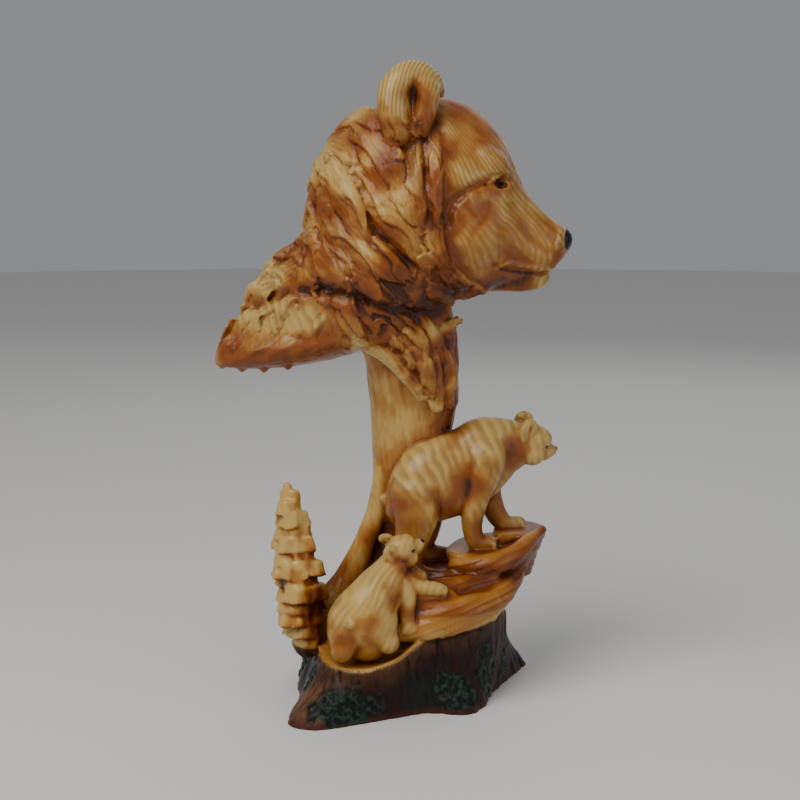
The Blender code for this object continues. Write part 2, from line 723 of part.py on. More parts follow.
def toes(form, path, reach):
    """Adds four toes at the end of a leg."""
    (back, _), (tip, radius) = path[-2:]
    ahead = (Vector(tip) - Vector(back)).normalized()
    across = ahead.cross(Vector((0, 0, 1))).normalized()
    for k in (-1.5, -0.5, 0.5, 1.5):
        place = Vector(tip) + across * k * radius * 0.5 + ahead * reach - Vector((0, 0, radius * 0.25))
        ball(form, place, [radius * 0.42] * 3)


def adult():
    """The walking adult bear."""
    form = shape()
    long_loft(form, ADULT_STATIONS)
    for leg in ADULT_LEGS:
        limb(form, leg)
        toes(form, leg, 1.6)
    ball(form, (-8, 0, 106), (3, 2.5, 4))
    return clay(shape(clay(form, FIGURE_GRAIN, 1.0), small_head(ADULT_HEAD)), FIGURE_GRAIN, 0.4)


def cub():
    """The cub, climbing with its back to the near side."""
    form = shape()
    limb(form, CUB_BODY)
    for leg in CUB_LIMBS:
        limb(form, leg)
    for leg in CUB_LIMBS[2:]:
        toes(form, leg, 1.0)
    ball(form, (-25, -60, 52), (2.6, 2.6, 2.6))
    return clay(shape(clay(form, FIGURE_GRAIN, 1.3), small_head(CUB_HEAD)), FIGURE_GRAIN, 0.4)


def pine():
    """The pine: ragged tiers of branches, each wider at its lower edge."""
    form = shape()
    draw = random.Random(11)
    foot, tip = Vector(PINE_GRID["seat"]), Vector(PINE_TIP)
    for z, reach in PINE_TIERS:
        middle = foot.lerp(tip, (z - foot.z) / (tip.z - foot.z))
        middle += Vector((draw.uniform(-1.2, 1.2), draw.uniform(-1.2, 1.2), 0))
        phase, lobes = draw.uniform(0, 6.28), draw.choice((2, 3, 4))
        tier = bmesh.ops.create_cone(
            form,
            cap_ends=True,
            segments=18,
            radius1=reach,
            radius2=reach * 0.8,
            depth=8.0,
            matrix=Matrix.Translation(middle),
        )
        for vertex in tier["verts"]:
            arm = vertex.co - middle
            angle = math.atan2(arm.y, arm.x)
            swell = 1 + 0.16 * math.sin(lobes * angle + phase) + draw.uniform(-0.1, 0.1)
            vertex.co = middle + Vector(
                (arm.x * swell, arm.y * swell * 0.85, arm.z + draw.uniform(-1.0, 1.0))
            )
    limb(form, PINE_CORE)
    return clay(form, FIGURE_GRAIN, 0.8)


def grid_matrix(unit, seat, place, turn=0.0):
    """Takes a figure's grid to metres: its seat goes to place, turned about Z in degrees."""
    spin = Matrix.Rotation(math.radians(turn), 4, "Z")
    scale = unit if isinstance(unit, Vector) else Vector((unit, unit, unit))
    return Matrix.Translation(place) @ spin @ Matrix.Diagonal(
        (*scale, 1.0)
    ) @ Matrix.Translation(-Vector(seat))


def placings():
    """The matrix that sets each figure on what carries it."""
    across, deep = STUMP_WIDTH / STUMP_GRID["width"], STUMP_DEPTH / STUMP_GRID["depth"]
    rise = ROCK_HEIGHT / ROCK_GRID_HEIGHT
    foot = STUMP_GRID["height"]
    rim = Vector((0, 0, STUMP_HEIGHT))
    wide = TRUNK_WIDTH / TRUNK_GRID["width"]

    def on_rock(grid, unit, turn=0.0):
        x, y, z = grid["seat"]
        return grid_matrix(unit, grid["seat"], rim + Vector((x * across, y * deep, (z - foot) * rise)), turn)

    trunk_units = Vector((wide, wide, TRUNK_HEIGHT / TRUNK_GRID["height"]))
    bust_seat = rim + Vector((0, 0, TRUNK_HEIGHT))
    return {
        stump: grid_matrix(Vector((across, deep, STUMP_HEIGHT / foot)), (0, 0, 0), Vector()),
        rock: grid_matrix(Vector((across, deep, rise)), (0, 0, foot), rim),
        trunk: grid_matrix(trunk_units, (0, 0, foot), rim),
        bust: grid_matrix(BUST_LENGTH / BUST_GRID["length"], BUST_GRID["seat"], bust_seat, HEAD_TURN),
        adult: on_rock(ADULT_GRID, ADULT_LENGTH / ADULT_GRID["length"], ADULT_TURN),
        cub: on_rock(CUB_GRID, CUB_HEIGHT / CUB_GRID["height"]),
        pine: on_rock(PINE_GRID, PINE_HEIGHT / PINE_GRID["height"]),
    }


def flat_foot(mesh):
    """Cuts the underside off flat and sets the origin under the middle of the mesh's box."""
    form = shape(mesh)
    everything = form.verts[:] + form.edges[:] + form.faces[:]
    cut = Vector((0, 0, FOOT_TRIM))
    bmesh.ops.bisect_plane(form, geom=everything, plane_co=cut, plane_no=(0, 0, -1), clear_outer=True)
    bmesh.ops.holes_fill(form, edges=[e for e in form.edges if e.is_boundary])
    bmesh.ops.triangulate(form, faces=form.faces)
    form.to_mesh(mesh)
    form.free()
    points = points_of(mesh)
    move = -(points.min(axis=0) + points.max(axis=0)) / 2
    move[2] = -points[:, 2].min()
    mesh.transform(Matrix.Translation(move))


def varnished_stain():
    """The statue's painted finish."""
    material = bpy.data.materials.new("painted_resin")
    material.use_nodes = True
    finish = material.node_tree.nodes["Principled BSDF"].inputs
    finish["Base Color"].default_value = STAIN["colour"]
    finish["Roughness"].default_value = STAIN["roughness"]
    finish["Metallic"].default_value = STAIN["metallic"]
    return material


def main():
    for old in list(bpy.data.objects):
        bpy.data.objects.remove(old)
    form = shape()
    for figure, place in placings().items():
        mesh = figure()
        mesh.transform(place)
        form.from_mesh(mesh)
    mesh = clay(form, CAST_GRAIN, 0.0004)
    flat_foot(mesh)
    mesh.name = "bear_statue"
    mesh.materials.append(varnished_stain())
    casting = bpy.data.objects.new("bear_statue", mesh)
    statue = bpy.data.collections.new("faux_wood_bear_statue")
    bpy.context.scene.collection.children.link(statue)
    statue.objects.link(casting)
    thin = casting.modifiers.new("Decimate", "DECIMATE")
    thin.ratio = TRIANGLES / len(mesh.polygons)


main()
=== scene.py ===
import math
import random

import bmesh
import bpy
import numpy as np
from mathutils import Euler, Matrix, Vector
from mathutils.bvhtree import BVHTree


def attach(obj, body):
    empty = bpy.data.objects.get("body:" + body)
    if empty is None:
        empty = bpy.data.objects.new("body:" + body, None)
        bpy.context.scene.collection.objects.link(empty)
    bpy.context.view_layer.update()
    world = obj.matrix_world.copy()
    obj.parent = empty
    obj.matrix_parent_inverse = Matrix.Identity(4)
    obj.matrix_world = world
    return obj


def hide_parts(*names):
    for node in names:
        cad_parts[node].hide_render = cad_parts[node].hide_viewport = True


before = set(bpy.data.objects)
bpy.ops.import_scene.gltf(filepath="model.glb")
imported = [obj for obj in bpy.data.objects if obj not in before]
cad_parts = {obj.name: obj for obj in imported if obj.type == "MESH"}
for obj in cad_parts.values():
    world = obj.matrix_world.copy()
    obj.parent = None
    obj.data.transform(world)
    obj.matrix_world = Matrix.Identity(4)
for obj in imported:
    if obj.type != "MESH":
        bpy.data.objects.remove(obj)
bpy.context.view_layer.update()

# How fine the statue is worked: figures in mm of their own grid, the casting in metres
fineness = {"bust": 0.75, "figures": 0.5, "rock": 0.9, "casting": 0.00062, "triangles": 196000}
bustGrain, figureGrain, rockGrain = fineness["bust"], fineness["figures"], fineness["rock"]


# A bmesh to model in, with the given meshes in it
def shape(*meshes):
    form = bmesh.new()
    for mesh in meshes:
        form.from_mesh(mesh)
    return form


# Adds an ellipsoid, turned by Euler angles in degrees
def ball(form, middle, radii, turn=(0.0, 0.0, 0.0)):
    spin = Euler([math.radians(a) for a in turn]).to_matrix().to_4x4()
    matrix = Matrix.Translation(middle) @ spin @ Matrix.Diagonal((*radii, 1.0))
    ballForm = bmesh.new()
    bmesh.ops.create_uvsphere(ballForm, u_segments=24, v_segments=16, radius=1.0, matrix=matrix)
    mesh = bpy.data.meshes.new("ball")
    ballForm.to_mesh(mesh)
    ballForm.free()
    form.from_mesh(mesh)
    bpy.data.meshes.remove(mesh)


# Adds a tapered tube along a smooth path of (point, radius), with round ends
def limb(form, path):
    curve = bpy.data.curves.new("limb", "CURVE")
    curve.dimensions = "3D"
    curve.bevel_depth = 1.0
    curve.bevel_resolution = 4
    curve.resolution_u = 6
    curve.use_fill_caps = True
    spline = curve.splines.new("BEZIER")
    spline.bezier_points.add(len(path) - 1)
    for point, (place, radius) in zip(spline.bezier_points, path):
        point.co = place
        point.radius = radius
        point.handle_left_type = point.handle_right_type = "AUTO"
    tube = bpy.data.objects.new("limb", curve)
    form.from_mesh(evaluated(tube))
    for place, radius in (path[0], path[-1]):
        ball(form, place, (radius, radius, radius))


# The mesh that an object comes to with its modifiers. Removes the object
def evaluated(thing):
    bpy.context.scene.collection.objects.link(thing)
    graph = bpy.context.evaluated_depsgraph_get()
    mesh = bpy.data.meshes.new_from_object(thing.evaluated_get(graph))
    bpy.data.objects.remove(thing)
    return mesh


# Adds a closed body through rings of equally many points, with flat ends
def loft(form, rings):
    loops = [[form.verts.new(p) for p in ring] for ring in rings]
    for lower, upper in zip(loops, loops[1:]):
        for i, corner in enumerate(lower):
            form.faces.new((lower[i - 1], corner, upper[i], upper[i - 1]))
    form.faces.new(reversed(loops[0]))
    form.faces.new(loops[-1])


# Points round an egg-shaped section, (place from low to high, sideways), its widest place as a share
def section(low, high, half, widest, count=28):
    skew = math.log(widest) / math.log(0.5)
    points = []
    for i in range(count):
        angle = 2 * math.pi * i / count
        share = (1 - math.cos(angle)) / 2
        points.append((low + (high - low) * share**skew, half * math.sin(angle)))
    return points


# Adds a body through level sections: (height, back, front, half width, widest)
def uprightLoft(form, levels):
    rings = []
    for z, x0, x1, half, widest in levels:
        rings.append([(x, y, z) for x, y in section(x0, x1, half, widest)])
    loft(form, rings)


# Adds a body through upright sections: (x, floor, crown, half width, widest)
def longLoft(form, stations):
    rings = []
    for x, z0, z1, half, widest in stations:
        rings.append([(x, y, z) for z, y in section(z0, z1, half, widest)])
    loft(form, rings)


# Adds each ellipsoid of (middle, radii, turn about Y), and its mirror image if it is off the middle
def mirrored(form, masses):
    for middle, radii, *turn in masses:
        x, y, z = middle
        for side in sorted({y, -y}):
            ball(form, (x, side, z), radii, (0.0, turn[0] if turn else 0.0, 0.0))


# Fuses everything in the form into one skin of even faces, blurred over a length. Frees the form
def clay(form, grain, softness):
    mesh = bpy.data.meshes.new("clay")
    bmesh.ops.recalc_face_normals(form, faces=form.faces)
    form.to_mesh(mesh)
    form.free()
    lump = bpy.data.objects.new("clay", mesh)
    remesh = lump.modifiers.new("Remesh", "REMESH")
    remesh.mode = "VOXEL"
    remesh.voxel_size = grain
    if softness:
        smooth = lump.modifiers.new("Smooth", "SMOOTH")
        smooth.factor = 0.5
        smooth.iterations = max(1, round((2 * softness / grain) ** 2))
    return evaluated(lump)


# The mesh's points as an array
def pointsOf(mesh):
    points = np.empty(3 * len(mesh.vertices))
    mesh.vertices.foreach_get("co", points)
    return points.reshape(-1, 3)


# The mesh's point normals as an array
def normalsOf(mesh):
    normals = np.empty(3 * len(mesh.vertices))
    mesh.vertex_normals.foreach_get("vector", normals)
    return normals.reshape(-1, 3)


# Moves the mesh's points
def setPoints(mesh, points):
    mesh.vertices.foreach_set("co", points.ravel())
    mesh.update()


# Presses an ellipsoid into the mesh: points inside it move along a direction to its far side
def scoop(mesh, middle, radii, towards):
    toUnit = np.diag([1 / r for r in radii])
    points = pointsOf(mesh)
    inside = (points - middle) @ toUnit.T
    step = toUnit @ np.array(towards)
    depth = 1 - (inside**2).sum(axis=1)
    along = inside @ step
    reach = np.sqrt(np.maximum(along**2 + (step @ step) * depth, 0.0)) - along
    points += np.outer(np.where(depth > 0, reach, 0.0) / (step @ step), towards)
    setPoints(mesh, points)


# Presses a line of the side view into one side of the mesh
def groove(mesh, line, side):
    places, half, depth = line
    path = np.array([(p.x, p.z) for p in smoothPath([Vector((x, 0, z)) for x, z in places], 40)])
    points, normals = pointsOf(mesh), normalsOf(mesh)
    reach = np.full(len(points), np.inf)
    for place in path:
        reach = np.minimum(reach, ((points[:, ::2] - place) ** 2).sum(axis=1))
    press = depth * np.clip(1 - reach / (half * half), 0.0, 1.0) ** 2
    press *= np.clip(2 * normals[:, 1] * side, 0.0, 1.0) * (points[:, 1] * side > 0)
    setPoints(mesh, points - normals * press[:, None])


bust = {
    "grid": {"length": 187.0, "seat": (0.0, 0.0, 190.0)},
    # Bust, drawn from the side. Head: place along X, floor, crown, half width, share of the height
    # of its widest
    "headStations": (
        (88.5, 239, 247.5, 6.0, 0.5), (85, 233, 250, 9.5, 0.45), (79, 227, 254.5, 12.0, 0.4),
        (72, 225, 261, 14.0, 0.38), (65, 223, 269.5, 16.5, 0.38), (60, 221, 281, 20.0, 0.42),
        (54, 219, 295, 25.0, 0.45), (46, 217, 305, 29.0, 0.42), (36, 216, 312.5, 32.5, 0.40),
        (24, 214, 316.5, 35.0, 0.40), (10, 212, 317, 36.0, 0.42), (-6, 214, 314, 35.0, 0.45),
        (-22, 222, 308, 32.0, 0.5), (-36, 236, 297, 25.0, 0.5), (-46, 255, 280, 12.0, 0.5),
    ),
    # Neck and ruff: height, back, front, half width, share of the length where it is widest
    "neckLevels": (
        (307, -22, 12, 18, 0.5), (298, -34, 18, 27, 0.55), (282, -44, 22, 33, 0.6), (266, -48, 25, 36, 0.6),
        (250, -50, 27, 38, 0.6), (240, -55, 29, 39, 0.62), (228, -68, 30, 39, 0.64),
        (216, -78, 29, 37, 0.66), (206, -85, 22, 34, 0.66), (195, -91, 18, 30, 0.66),
        (187, -95.5, -12, 27, 0.6), (180, -99, -34, 22, 0.55), (175.5, -99, -58, 13, 0.5),
    ),
    # Masses that stand out of the head: middle, radii, turn about Y in degrees. Those off the
    # middle are mirrored
    "headMasses": (
        ((46, -17, 284), (13, 9, 7.5), 34),  # brow
        ((34, -23, 246), (20, 12, 18), 0),  # cheek
        ((69, -7.5, 234.5), (13, 7, 9), -10),  # upper lip
        ((64, 0, 258), (22, 7, 6), 40),  # bridge of the muzzle
        ((85.5, 0, 243.2), (4.6, 8.0, 6.6), 0),  # nose pad
    ),
    "lowerJaw": (
        ((26, 0, 226), 12.0), ((44, 0, 225), 9.5), ((60, 0, 223.5), 8.0), ((71, 0, 222.5), 6.0),
        ((75, 0, 223), 4.0),
    ),
    "eyeSocket": {"at": (53, -20, 272), "radii": (4.5, 4.5, 3.2), "towards": (-0.3, 1.0, 0.0)},
    # Lines pressed into the bust, as seen from the side: points, half width and depth
    "crease": (((-86, 203), (-72, 211), (-50, 217), (-30, 219), (-10, 214), (8, 206), (26, 198)), 5.5, 3.5),
    "cheekLine": (((21, 302), (26, 284), (25, 266), (27, 248), (31, 234), (40, 222)), 3.5, 1.5),
    "browLine": (
        ((55, 275), (50, 275), (44, 273.5), (38, 270.5), (32, 266.5), (28, 261), (26, 254)), 4.2, 2.6,
    ),
    "mouthLine": (((50, 232), (56, 228.5), (63, 227), (72, 226), (80, 227)), 1.8, 1.6),
    # The lie of the fur, as seen from the side: place and direction
    "fur": (
        ((-30, 305), (0.75, -0.66)), ((-45, 275), (0.6, -0.8)), ((-52, 250), (0.8, -0.6)),
        ((-20, 265), (0.65, -0.76)), ((-8, 292), (0.5, -0.87)), ((0, 240), (0.75, -0.66)),
        ((-30, 232), (0.85, -0.52)), ((14, 285), (0.05, -1.0)), ((17, 255), (0.12, -1.0)),
        ((27, 230), (0.6, -0.8)), ((15, 212), (0.9, -0.4)), ((-62, 236), (-0.5, -0.86)),
        ((-76, 218), (-0.75, -0.66)), ((-42, 208), (-0.8, -0.6)), ((-86, 195), (-0.7, -0.7)),
        ((-55, 190), (-0.65, -0.76)), ((-16, 200), (0.5, -0.86)), ((5, 195), (0.7, -0.7)),
        ((20, 180), (0.4, -0.92)), ((25, 160), (0.0, -1.0)),
    ),
    # Locks of the bust: first and last root in the side view, how many, length, width and thickness
    "neckRows": (
        ((-24, 303), (-46, 272), 3, 58, 17, 8.5), ((-10, 294), (-46, 250), 4, 60, 16, 9.0),
        ((2, 276), (-30, 238), 4, 44, 13, 8.0), ((8, 294), (11, 262), 3, 44, 10, 8.0),
        ((18, 298), (18, 250), 4, 36, 8, 6.5), ((21, 240), (32, 226), 3, 24, 8, 6.0),
        ((-56, 240), (-36, 226), 3, 46, 14, 6.0),
    ),
    "ruffRows": (((-50, 236), (-72, 224), 3, 44, 20, 3.4), ((-24, 212), (-70, 212), 4, 44, 19, 3.2)),
    "napeRows": (
        ((-14, 300), (14, 300), 3, 50, 15, 7.5), ((-20, 272), (20, 270), 4, 50, 14, 7.5),
        ((-16, 244), (16, 242), 3, 42, 13, 7.0),
    ),
    # Ragged tufts along the ruff's lower edge: root, drop of the tip, thickness
    "tufts": (
        ((-91, 5, 182), 6, 6.0), ((-80, 9, 181), 6, 7.0), ((-68, 11, 183), 8, 7.0),
        ((-55, 14, 186), 9, 7.5), ((-43, 16, 190), 8, 8.0), ((-31, 18, 194), 7, 7.5),
    ),
    "collarFolds": (
        (
            ((-26, -12, 202), 6.0), ((-18, -17, 194), 6.5), ((-5, -18, 186), 6.5), ((6, -16, 174), 6.0),
            ((12, -14, 163), 3.5),
        ),
        (
            ((-14, -18, 206), 8.0), ((0, -20, 198), 8.0), ((11, -18, 186), 7.5), ((17, -14, 172), 7.0),
            ((20, -11, 157), 4.0),
        ),
        (
            ((2, -18, 206), 7.5), ((14, -15, 198), 6.5), ((20, -11, 186), 5.5), ((23, -8, 172), 5.0),
            ((26, -6, 157), 3.0),
        ),
    ),
    "collarRows": (((-12, 204), (18, 204), 3, 30, 10, 4.0), ((-6, 192), (22, 186), 3, 28, 9, 4.0)),
    "jawTufts": (
        (((24, -25, 232), 8.0), ((30, -20, 224), 6.5), ((35, -13, 215), 2.0)),
        (((12, -27, 226), 8.0), ((20, -23, 219), 6.5), ((27, -17, 212), 2.5)),
    ),
    "collarSpur": (((0, -12, 203), 7.0), ((16, -10, 199), 5.5), ((25, -8, 198), 4.0), ((31, -7, 201), 2.6)),
    # Ears: a rolled rim, the lobe inside it and the wall behind them, as (point, radius) about the
    # ear's place
    "earRim": (
        ((-5, 0.5, -17), 7.2), ((-7.2, -1.5, -6), 8.6), ((-6.4, -1.5, 5), 8.2), ((0, 0.0, 12.0), 6.8),
        ((7.5, 3.0, 12.6), 5.8), ((12, 5.0, 6), 4.4),
    ),
    "earLobe": (((5.0, 2.0, 10), 6.4), ((9.2, 2.0, 4), 6.6), ((8.6, 2.5, -5), 6.2), ((5.0, 4.0, -15), 6.0)),
    "earBack": (((2, 5.5, 6), 6.0), ((3, 6.0, -6), 6.0), ((3, 5.0, -16), 6.0)),
    "ear": {"at": (6.0, -27.5, 315.5), "scale": 1.0, "tilt": -12.0},
}


# Adds one cupped ear on the side given by side's sign: a rolled rim, a lobe and the wall behind them
def ear(form, spec, side):
    x, y, z = spec["at"]
    size = spec["scale"]
    tilt = Matrix.Rotation(math.radians(-side * spec["tilt"]), 3, "X")
    for path in (bust["earRim"], bust["earLobe"], bust["earBack"]):
        placed = []
        for (a, b, c), radius in path:
            spot = Vector((x, -side * y, z)) + tilt @ Vector((a, -side * b, c)) * size
            placed.append((spot, radius * size))
        limb(form, placed)


# A tree that finds the nearest point and the first point along a ray on the mesh
def skinOf(mesh):
    form = shape(mesh)
    skin = BVHTree.FromBMesh(form)
    form.free()
    return skin


# The direction of the fur at a point of the bust
def lieOfFur(place):
    flow = Vector((0, 0, 0))
    for (x, z), (dx, dz) in bust["fur"]:
        near = (place.x - x) ** 2 + (place.z - z) ** 2 + 4
        flow += Vector((dx, 0, dz)) / near**2
    return flow.normalized()


# Adds one pointed lock that follows the fur over the skin from its root, carved with strands along its back
def lock(form, skin, root, length, width, thickness, bend):
    steps, around = 22, 36
    strands = max(3, round(width / 2.4))
    rings = []
    place = root
    for i in range(steps):
        share = i / (steps - 1)
        near, normal, _, _ = skin.find_nearest(place)
        flow = lieOfFur(near)
        flow.rotate(Euler((0.0, bend * (share - 0.3), 0.0)))
        flow = (flow - normal * flow.dot(normal)).normalized()
        across = normal.cross(flow)
        fullness = max(0.05, math.sin(math.pi * (0.14 + 0.86 * share) ** 0.85) ** 0.8)
        top = thickness * (0.1 + 0.9 * share) * min(1.0, 1.3 * fullness)
        base = 0.25 * thickness
        middle = near + normal * (top - base) / 2
        half = across * width / 2 * fullness
        rise = normal * (top + base) / 2
        ring = []
        for a in np.linspace(0, 2 * math.pi, around + 1)[:-1]:
            cut = 1 - 0.07 * (0.5 + 0.5 * math.cos(strands * 2 * a + 5 * bend)) * min(1.0, 3 * share + 0.3)
            c, s = math.cos(a), math.sin(a)
            wide, tall = math.copysign(abs(c) ** 0.7, c), math.copysign(abs(s) ** 0.6, s) * (1 + 0.35 * c)
            ring.append(middle + half * wide * cut + rise * tall * cut)
        rings.append(ring)
        place = near + flow * length / (steps - 1)
    loft(form, rings)


# Adds rows of locks where rays along the look from points between each row's ends meet the skin
def lockRows(form, skin, rows, look, seed):
    draw = random.Random(seed)
    for first, last, count, length, width, thickness in rows:
        for i in range(round(count)):
            share = (i + draw.uniform(-0.15, 0.15)) / max(1, count - 1)
            u, z = Vector(first).lerp(Vector(last), share)
            place = Vector((u * abs(look.y), u * abs(look.x), z + draw.uniform(-2, 2)))
            hit = skin.ray_cast(place - look * 200, look)[0]
            if hit is None:
                continue
            size = draw.uniform(0.85, 1.15)
            bend = draw.uniform(-0.35, 0.35)
            lock(form, skin, hit, length * size, width * draw.uniform(0.9, 1.15), thickness, bend)


# Points round a closed curve through the given ones (Catmull-Rom)
def smoothLoop(points, count):
    total = len(points)
    return [between(points, i * total / count) for i in range(count)]


# Points along an open curve through the given ones (Catmull-Rom)
def smoothPath(points, count):
    ends = [2 * points[-1] - points[-2], 2 * points[0] - points[1]]
    return [between(points + ends, i * (len(points) - 1) / (count - 1)) for i in range(count)]


# The point at a place along the closed curve through the given points
def between(points, place):
    total = len(points)
    k, t = int(place), place % 1.0
    a, b, c, d = (points[(k + j) % total] for j in (-1, 0, 1, 2))
    return 0.5 * (2 * b + (c - a) * t + (2 * a - 5 * b + 4 * c - d) * t**2 + (3 * b - a - 3 * c + d) * t**3)


stump = {
    # What each grid's known length measures on the grid, and the grid point that is set on the carrier
    "grid": {"width": 130.0, "depth": 140.0, "height": 28.0},
    # Stump: angle from its middle in degrees, reach at the ground and at the rim, height of the rim
    "middle": (5.0, -4.0),
    "outline": (
        (-170, 60, 50, 9.0), (-155, 66, 53, 7.0), (-144, 78, 58, 4.0), (-134, 88, 62, 2.0),
        (-124, 84, 63, 0.5), (-112, 63, 60, 0.5), (-98, 50, 52, 4.5), (-78, 43, 40, 13.0),
        (-56, 54, 41, 16.0), (-38, 50, 43, 18.0), (-15, 45, 47, 20.0), (10, 52, 53, 16.0),
        (27, 68, 58, 12.0), (37, 83, 62, 12.0), (50, 68, 64, 16.0), (72, 58, 58, 20.0), (92, 66, 55, 20.0),
        (112, 60, 58, 20.0), (130, 78, 62, 20.0), (150, 66, 61, 17.0), (170, 62, 56, 12.0),
    ),
}


# The rooted stump, its side hollow between the roots and its rim rising and falling
def carveStump():
    form = shape()
    mid = Vector((*stump["middle"], 0.0))
    ground, rim = [], []
    for angle, low, high, lift in stump["outline"]:
        way = Vector((math.cos(math.radians(angle)), math.sin(math.radians(angle)), 0.0))
        ground.append(mid + way * low)
        rim.append(mid + way * high + Vector((0, 0, stump["grid"]["height"] + lift)))
    low, high = smoothLoop(ground, 120), smoothLoop(rim, 120)
    rings = []
    for rise in np.linspace(0.0, 1.0, 9):
        flare = (1 - rise) ** 1.8
        ring = []
        for g, r in zip(low, high):
            point = r.lerp(g, flare)
            point.z = r.z * rise
            ring.append(point)
        rings.append(ring)
    for inward, drop in ((0.92, 0.1), (0.84, 1.2), (0.7, 1.0)):
        rings.append([mid.lerp(r, inward) * Vector((1, 1, 0)) + Vector((0, 0, r.z - drop)) for r in high])
    rings.append([Vector((*mid.lerp(r, 0.3).xy, 41.0)) for r in high])
    loft(form, rings)
    return clay(form, rockGrain, 1.0)


rock = {
    "gridHeight": 58.0,
    # Section of a slab's edge: height from its top, and share of the way in to its middle
    "slab": ((-26, 0.5), (-15, 0.3), (-8, 0.12), (-3.5, 0.01), (-1, 0.01), (0, 0.08), (0.4, 0.4)),
    # Rock steps above the rim: height of the top, then the plan of its edge
    "steps": (
        (
            46.0,
            (
                (-4, -32), (20, -38), (44, -30), (55, -8), (58, 20), (50, 42), (10, 46), (-40, 44),
                (-48, 8), (-20, -12),
            ),
        ),
        (
            54.5,
            (
                (2, -27), (24, -33), (46, -26), (59, -8), (62, 18), (52, 42), (16, 45), (-24, 40), (-26, 6),
                (-8, -10),
            ),
        ),
        (
            62.0,
            ((-2, -18), (18, -25), (44, -22), (62, -6), (66, 18), (56, 42), (18, 42), (-12, 34), (-14, 2)),
        ),
        (
            69.5,
            ((-4, -16), (16, -20), (42, -18), (64, -4), (71, 18), (60, 40), (24, 40), (-6, 28), (-8, -4)),
        ),
        (
            78.5,
            ((25, -13), (40, -20), (56, -16), (70, -4), (76, 16), (66, 34), (50, 38), (34, 26), (25, 4)),
        ),
        (86.0, ((50, -1), (60, -3), (74, 3), (80, 18), (72, 32), (60, 33), (51, 18))),
    ),
    # Rounded ledges that run on from the steps towards the near side
    "ledges": (
        (((4, -35, 50), 6.5), ((18, -38, 51), 7.5), ((34, -35, 53), 8.0), ((48, -25, 55), 7.0)),
        (((0, -40, 43), 6.0), ((16, -40, 45), 7.0), ((32, -35, 47), 7.0), ((46, -24, 50), 7.0)),
        (
            ((22, -33, 50), 7.0), ((36, -30, 52), 8.5), ((50, -21, 56), 8.0), ((59, -8, 62), 6.5),
            ((66, 4, 70), 4.5),
        ),
        (
            ((30, -14, 72), 5.0), ((44, -19, 73), 6.0), ((58, -14, 76), 6.0), ((69, -3, 82), 4.5),
            ((77, 8, 86), 2.8),
        ),
        (((-6, -22, 56), 6.0), ((10, -25, 60), 6.5), ((30, -24, 62), 6.5), ((48, -18, 65), 5.5)),
    ),
    "cubPerch": (((2, -34, 56), 7.5), ((14, -35, 57), 7.5), ((25, -33, 57), 6.5)),
}


# Worn steps of rock, each a rounded slab with an undercut edge
def carveRock():
    form = shape()
    for top, plan in rock["steps"]:
        edge = smoothLoop([Vector((x, y, 0.0)) for x, y in plan], 64)
        mid = sum(edge, Vector()) / len(edge)
        rings = []
        for height, inset in rock["slab"]:
            lift = Vector((0, 0, max(top + height, 14.0) + 0.01 * height))
            rings.append([p.lerp(mid, inset) + lift for p in edge])
        loft(form, rings)
    for ledge in (rock["cubPerch"], *rock["ledges"]):
        limb(form, ledge)
    return clay(form, rockGrain, 1.5)


trunk = {
    "grid": {"height": 162.0, "width": 46.0, "foot": 28.0},
    # Trunk: height, left edge, right edge, middle in Y, half depth
    "levels": (
        (36, -44, 30, 16, 25), (50, -39, 22, 16, 22), (62, -32, 15, 16, 19), (78, -24, 12, 16, 17),
        (92, -19, 13, 15, 16), (112, -14.6, 19, 13, 15.5), (130, -15, 26, 11, 16),
        (156, -16, 30.5, 8, 16.5), (176, -18, 30, 5, 18), (196, -24, 29, 2, 22), (222, -34, 24, 0, 25),
    ),
    "root": (
        ((-10, 4, 120), 4.0), ((-12, 2, 100), 5.5), ((-19, 0, 80), 6.5), ((-28, -2, 62), 7.5),
        ((-38, -6, 48), 9.0), ((-46, -12, 40), 9.0),
    ),
}


# The leaning trunk, with a root along its left edge
def carveTrunk():
    form = shape()
    rings = []
    for z, x0, x1, y, half in trunk["levels"]:
        ring = section(x0, x1, half, 0.5, 32)
        rings.append([(a, y + math.copysign(abs(b / half) ** 0.8, b) * half, z) for a, b in ring])
    loft(form, rings)
    limb(form, trunk["root"])
    return clay(form, rockGrain, 1.5)


# Head and neck as one smooth mass, before the locks
def carveBustCore():
    form = shape()
    longLoft(form, bust["headStations"])
    uprightLoft(form, bust["neckLevels"])
    mirrored(form, bust["headMasses"])
    limb(form, bust["lowerJaw"])
    mesh = clay(form, bustGrain, 2.2)
    x, y, z = bust["eyeSocket"]["at"]
    dx, dy, dz = bust["eyeSocket"]["towards"]
    for side in (-1, 1):
        scoop(mesh, (x, -side * y, z), bust["eyeSocket"]["radii"], (dx, -side * dy, dz))
        for line in ("crease", "browLine", "mouthLine"):
            groove(mesh, bust[line], side)
    return mesh


